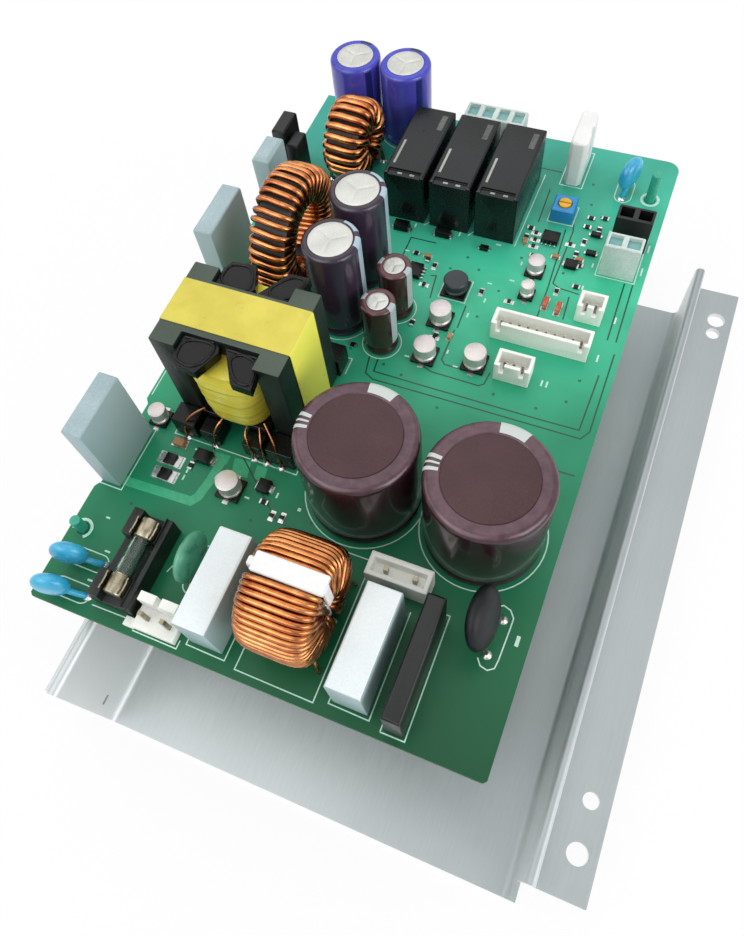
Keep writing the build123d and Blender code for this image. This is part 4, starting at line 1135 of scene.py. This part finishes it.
# tinned pads, beside the small parts and round the leads that come through
padLow = 0.004
padThick = 0.05
pads = [(x - w / 2, y - l / 2, padLow, w, l, padThick) for x, y, w, l in (
    (16.4, 46.8, 7.6, 3.6), (17.0, 42.2, 7.6, 3.6), (16.4, 52.2, 4.6, 2.6), (25.2, 50.2, 6.6, 2.4),
    (44.6, 47.9, 5.2, 2.2), (46.8, 143.9, 6.6, 2.0), (59.9, 145.0, 6.6, 2.0),
    (87.2, 148.6, 3.0, 1.4), (87.0, 151.2, 3.0, 1.4), (86.6, 153.8, 3.0, 1.4),
    (97.4, 152.4, 3.0, 1.4), (101.0, 154.6, 1.4, 3.0), (98.4, 134.2, 1.4, 3.0),
    (61.6, 132.6, 1.4, 3.0), (61.0, 124.8, 3.0, 1.4), (78.0, 127.4, 1.4, 3.0),
    (70.4, 107.6, 3.0, 1.4), (86.6, 126.4, 3.0, 1.4), (52.6, 41.6, 1.4, 3.0),
    (49.8, 41.2, 1.4, 3.0), (104.6, 122.0, 3.0, 1.4), (96.6, 128.9, 1.8, 5.0),
    (100.5, 128.2, 1.8, 5.0), (84.4, 149.8, 1.4, 2.8), (94.6, 146.6, 2.8, 1.4),
    (58.4, 135.4, 2.8, 1.4), (101.4, 147.4, 2.8, 1.4), (74.4, 109.4, 1.4, 2.8))]
pads += [(x - 0.8, y - d / 2 - 1.3, padLow, 1.6, d + 2.6, padThick) for x, y, d, h in surfaceCans]
keepPiece(boxes("tinnedPads", pads), tinSolder)
fillets = [
    (17.5, 54.9), (26.2, 54.9), (38.2, 54.9), (41.9, 54.9), (46.4, 54.9), (14.9, 13.7), (14.9, 4.9),
    (4.4, 13.5), (4.4, 4.7), (112.4, 26.8), (113.4, 36.0), (17.0, 157.6), (30.6, 169.6),
    (18.4, 107.6), (31.9, 127.6), (106.9, 175.2), (107.2, 181.8), (38.4, 17.4),
    (39.2, 25.6)]
mound = [(1.25, 0.0), (1.2, 0.12), (0.85, 0.35), (0.5, 0.75), (0.3, 0.85), (0, 0.88)]
keepPiece(turned("solderMounds", [upright(x, y) for x, y in fillets], mound, 20), tinSolder,
          sharp=40)
# short silk bars beside small parts, where the real board has its printed references
bars = [(x, y, padLow, w, l, board["silkHeight"]) for x, y, w, l in (
    (22.0, 44.6, 0.5, 1.6), (22.0, 42.4, 0.5, 1.6), (21.2, 51.8, 1.4, 0.5), (30.4, 45.6, 0.5, 1.4),
    (40.6, 43.4, 1.4, 0.5), (48.4, 46.2, 0.5, 1.6), (55.4, 44.8, 0.9, 0.9), (64.6, 99.0, 1.4, 0.5),
    (75.4, 103.6, 0.5, 1.4), (78.6, 100.0, 1.4, 0.5), (76.6, 117.4, 0.5, 1.6),
    (65.4, 119.0, 1.4, 0.5), (79.6, 124.0, 0.5, 1.6), (78.6, 131.0, 1.4, 0.5),
    (84.4, 134.0, 1.4, 0.5), (85.6, 140.6, 0.5, 1.4), (104.8, 137.0, 0.5, 1.6),
    (105.4, 146.0, 0.5, 1.6), (119.2, 147.0, 0.5, 3.0), (119.2, 156.0, 0.5, 3.0),
    (116.4, 128.0, 0.5, 2.4), (103.0, 101.6, 0.5, 2.0), (104.4, 101.6, 0.5, 2.0),
    (115.0, 114.0, 0.5, 2.4), (33.0, 30.0, 1.6, 0.5), (8.0, 25.4, 1.2, 0.5), (12.6, 17.0, 1.6, 0.5),
    (12.4, 8.6, 1.6, 0.5), (51.0, 135.6, 1.4, 0.5), (50.2, 145.4, 0.5, 1.6),
    (64.4, 146.0, 0.5, 1.6), (76.4, 146.0, 1.6, 0.5),
    (117.6, 31.0, 0.9, 2.6))]
keepPiece(boxes("silkBars", bars), silkInk)
viaPlaces = [
    (60.4, 43.0), (52.0, 100.0), (66.0, 92.8), (79.0, 86.0), (92.0, 95.0), (104.0, 94.4),
    (111.0, 99.0), (112.6, 106.6), (82.0, 108.6), (79.6, 118.6), (82.6, 129.4), (74.6, 135.2),
    (70.0, 138.8), (66.4, 133.2), (85.2, 143.4), (98.4, 141.4), (103.4, 166.0), (99.2, 170.0),
    (104.8, 186.0), (97.6, 178.4), (112.4, 168.4), (60.0, 94.6), (49.0, 96.6), (22.6, 56.6),
    (45.0, 38.2), (12.4, 31.4)]
via = [(0.42, 0.0), (0.4, 0.03), (0.16, 0.03), (0.14, 0.0)]
keepPiece(turned("viaRings", [upright(x, y) for x, y in viaPlaces], via, 14), gapMask,
          sharp=40)
# small chip resistors: dark ceramic between tinned ends, along X (0) or along Y (1)
chips = [
    (84.5, 155.4, 0), (84.2, 151.6, 1), (100.6, 164.4, 0), (104.6, 165.4, 0), (100.4, 160.6, 0),
    (104.0, 160.4, 1), (100.0, 149.2, 1), (104.4, 151.2, 0), (102.0, 145.4, 0), (88.2, 145.0, 0),
    (103.2, 137.4, 0), (51.6, 132.2, 0), (54.7, 135.6, 0), (58.9, 134.4, 1), (62.6, 110.6, 1),
    (49.2, 98.0, 0), (70.6, 108.4, 1), (22.6, 47.0, 1), (46.2, 44.0, 0)]
chipBodies = []
chipEnds = []
for x, y, turn in chips:
    if turn:
        chipBodies.append((x - 0.65, y - 0.7, 0.04, 1.3, 1.4, 0.5))
        chipEnds += [(x - 0.7, end, 0.03, 1.4, 0.55, 0.55) for end in (y - 1.2, y + 0.65)]
    else:
        chipBodies.append((x - 0.7, y - 0.65, 0.04, 1.4, 1.3, 0.5))
        chipEnds += [(end, y - 0.7, 0.03, 0.55, 1.4, 0.55) for end in (x - 1.2, x + 0.65)]
keepPiece(boxes("chipMiddles", chipBodies, 0.06), phenolic)
keepPiece(boxes("chipEnds", chipEnds, 0.08), tinSolder)
print("surface parts made")

# floor and light
stage = {"reach": 3.0, "white": "F2F2F2", "roughness": 0.9, "glowShare": 0.86}
corners = [(x * stage["reach"], y * stage["reach"], 0) for x, y in (
    (-1, -1), (1, -1), (1, 1), (-1, 1))]
floorMesh = newObject("paleFloor", corners, [(0, 1, 2, 3)])
paper, tree, shader = newMaterial("whitePaper")
shader.inputs["Base Color"].default_value = linear(stage["white"])
shader.inputs["Roughness"].default_value = stage["roughness"]
# the floor glows for the eye, through glass and in gloss; for all other rays it is plain paper
glow = addNode(tree, "ShaderNodeEmission", {"Strength": 1.0})
path = addNode(tree, "ShaderNodeLightPath")
seen = path.outputs["Is Camera Ray"]
for ray in ("Is Transmission Ray", "Is Glossy Ray"):
    seen = addNode(tree, "ShaderNodeMath", links={0: seen, 1: path.outputs[ray]},
                   operation="MAXIMUM")
share = addNode(tree, "ShaderNodeMath", {1: stage["glowShare"]}, {0: seen}, operation="MULTIPLY")
blend = addNode(tree, "ShaderNodeMixShader", links={0: share, 1: shader, 2: glow})
plug(tree, tree.nodes["Material Output"], {"Surface": blend})
floorMesh.data.materials.append(paper)

# a white room, brightest high up at the back, dim in front of the board
room = {"towards": (0.0, 0.3, 0.7), "low": -0.3, "high": 0.7,
        "dim": 0.62, "bright": 0.86,
        "windows": [((-0.35, -0.61, 0.71), 0.8, 0.95, 2.2),
                    ((0.76, -0.37, 0.53), 0.93, 0.985, 2.4)]}
world = bpy.data.worlds.new("studioRoom")
bpy.context.scene.world = world
world.use_nodes = True
tree = world.node_tree
back = tree.nodes["Background"]
back.inputs["Color"].default_value = linear("FFFFFF")
direction = addNode(tree, "ShaderNodeTexCoord").outputs["Generated"]
lean = addNode(tree, "ShaderNodeVectorMath", {1: room["towards"]}, {0: direction},
               operation="DOT_PRODUCT")
sky = addNode(tree, "ShaderNodeMapRange",
              {"From Min": room["low"], "From Max": room["high"], "To Min": room["dim"],
               "To Max": room["bright"]}, {"Value": lean.outputs["Value"]})
path = addNode(tree, "ShaderNodeLightPath")
# bright windows that only gloss and metal pick up, as long glints
total = sky
for towards, edge, core, strength in room["windows"]:
    near = addNode(tree, "ShaderNodeVectorMath", {1: Vector(towards).normalized()}, {0: direction},
                   operation="DOT_PRODUCT")
    spot = addNode(tree, "ShaderNodeMapRange",
                   {"From Min": edge, "From Max": core, "To Max": strength},
                   {"Value": near.outputs["Value"]}, interpolation_type="SMOOTHSTEP")
    gloss = addNode(tree, "ShaderNodeMath", links={
        0: spot, 1: path.outputs["Is Glossy Ray"], 2: total},
        operation="MULTIPLY_ADD")
    total = gloss
level = addNode(tree, "ShaderNodeMix", {3: 1.0}, {0: path.outputs["Is Camera Ray"], 2: total})
plug(tree, back, {"Strength": level})

# of each lamp the place, what it looks at, its size and its power
lamps = [
    ("softTop", (-0.15, 0.35, 0.8), (0, 0, 0.03), (0.9, 0.9), 2.0),
    ("softLeft", (-0.8, -0.1, 0.5), (0, 0, 0.05), (0.4, 0.5), 0.8),
    ("frontStrip", (-0.42, -0.55, 0.74), (-0.03, 0.03, 0.05), (0.35, 0.12), 0.6),
    ("rightFill", (0.85, -0.2, 0.34), (0, 0, 0.03), (0.6, 0.5), 2.9),
]
for name, place, target, size, power in lamps:
    lamp = bpy.data.lights.new(name, "AREA")
    lamp.shape = "RECTANGLE"
    lamp.size, lamp.size_y = size
    lamp.energy = power
    holder = inScene(name, lamp)
    holder.location = place
    holder.rotation_mode = "QUATERNION"
    holder.rotation_quaternion = (Vector(target) - Vector(place)).to_track_quat("-Z", "Y")

# camera, from the fit of the board's corners in the photograph
camera = {
    "lens": 29.476, "shift": (0.0159, 0.0048),
    "turn": (
        (0.920923, -0.301236, 0.247301),
        (0.378453, 0.842791, -0.382722),
        (-0.093134, 0.446049, 0.890150),
    ),
    "place": (0.03993, -0.09551, 0.22805),
}
lens = bpy.data.cameras.new("studioCamera")
lens.lens = camera["lens"]
lens.sensor_width = 36.0
lens.shift_x, lens.shift_y = camera["shift"]
lens.clip_start = 0.01
holder = inScene("studioCamera", lens)
holder.matrix_world = Matrix.Translation(camera["place"]) @ Matrix(camera["turn"]).to_4x4()
bpy.context.scene.camera = holder
bpy.context.scene.view_settings.view_transform = "Standard"
print("stage set")
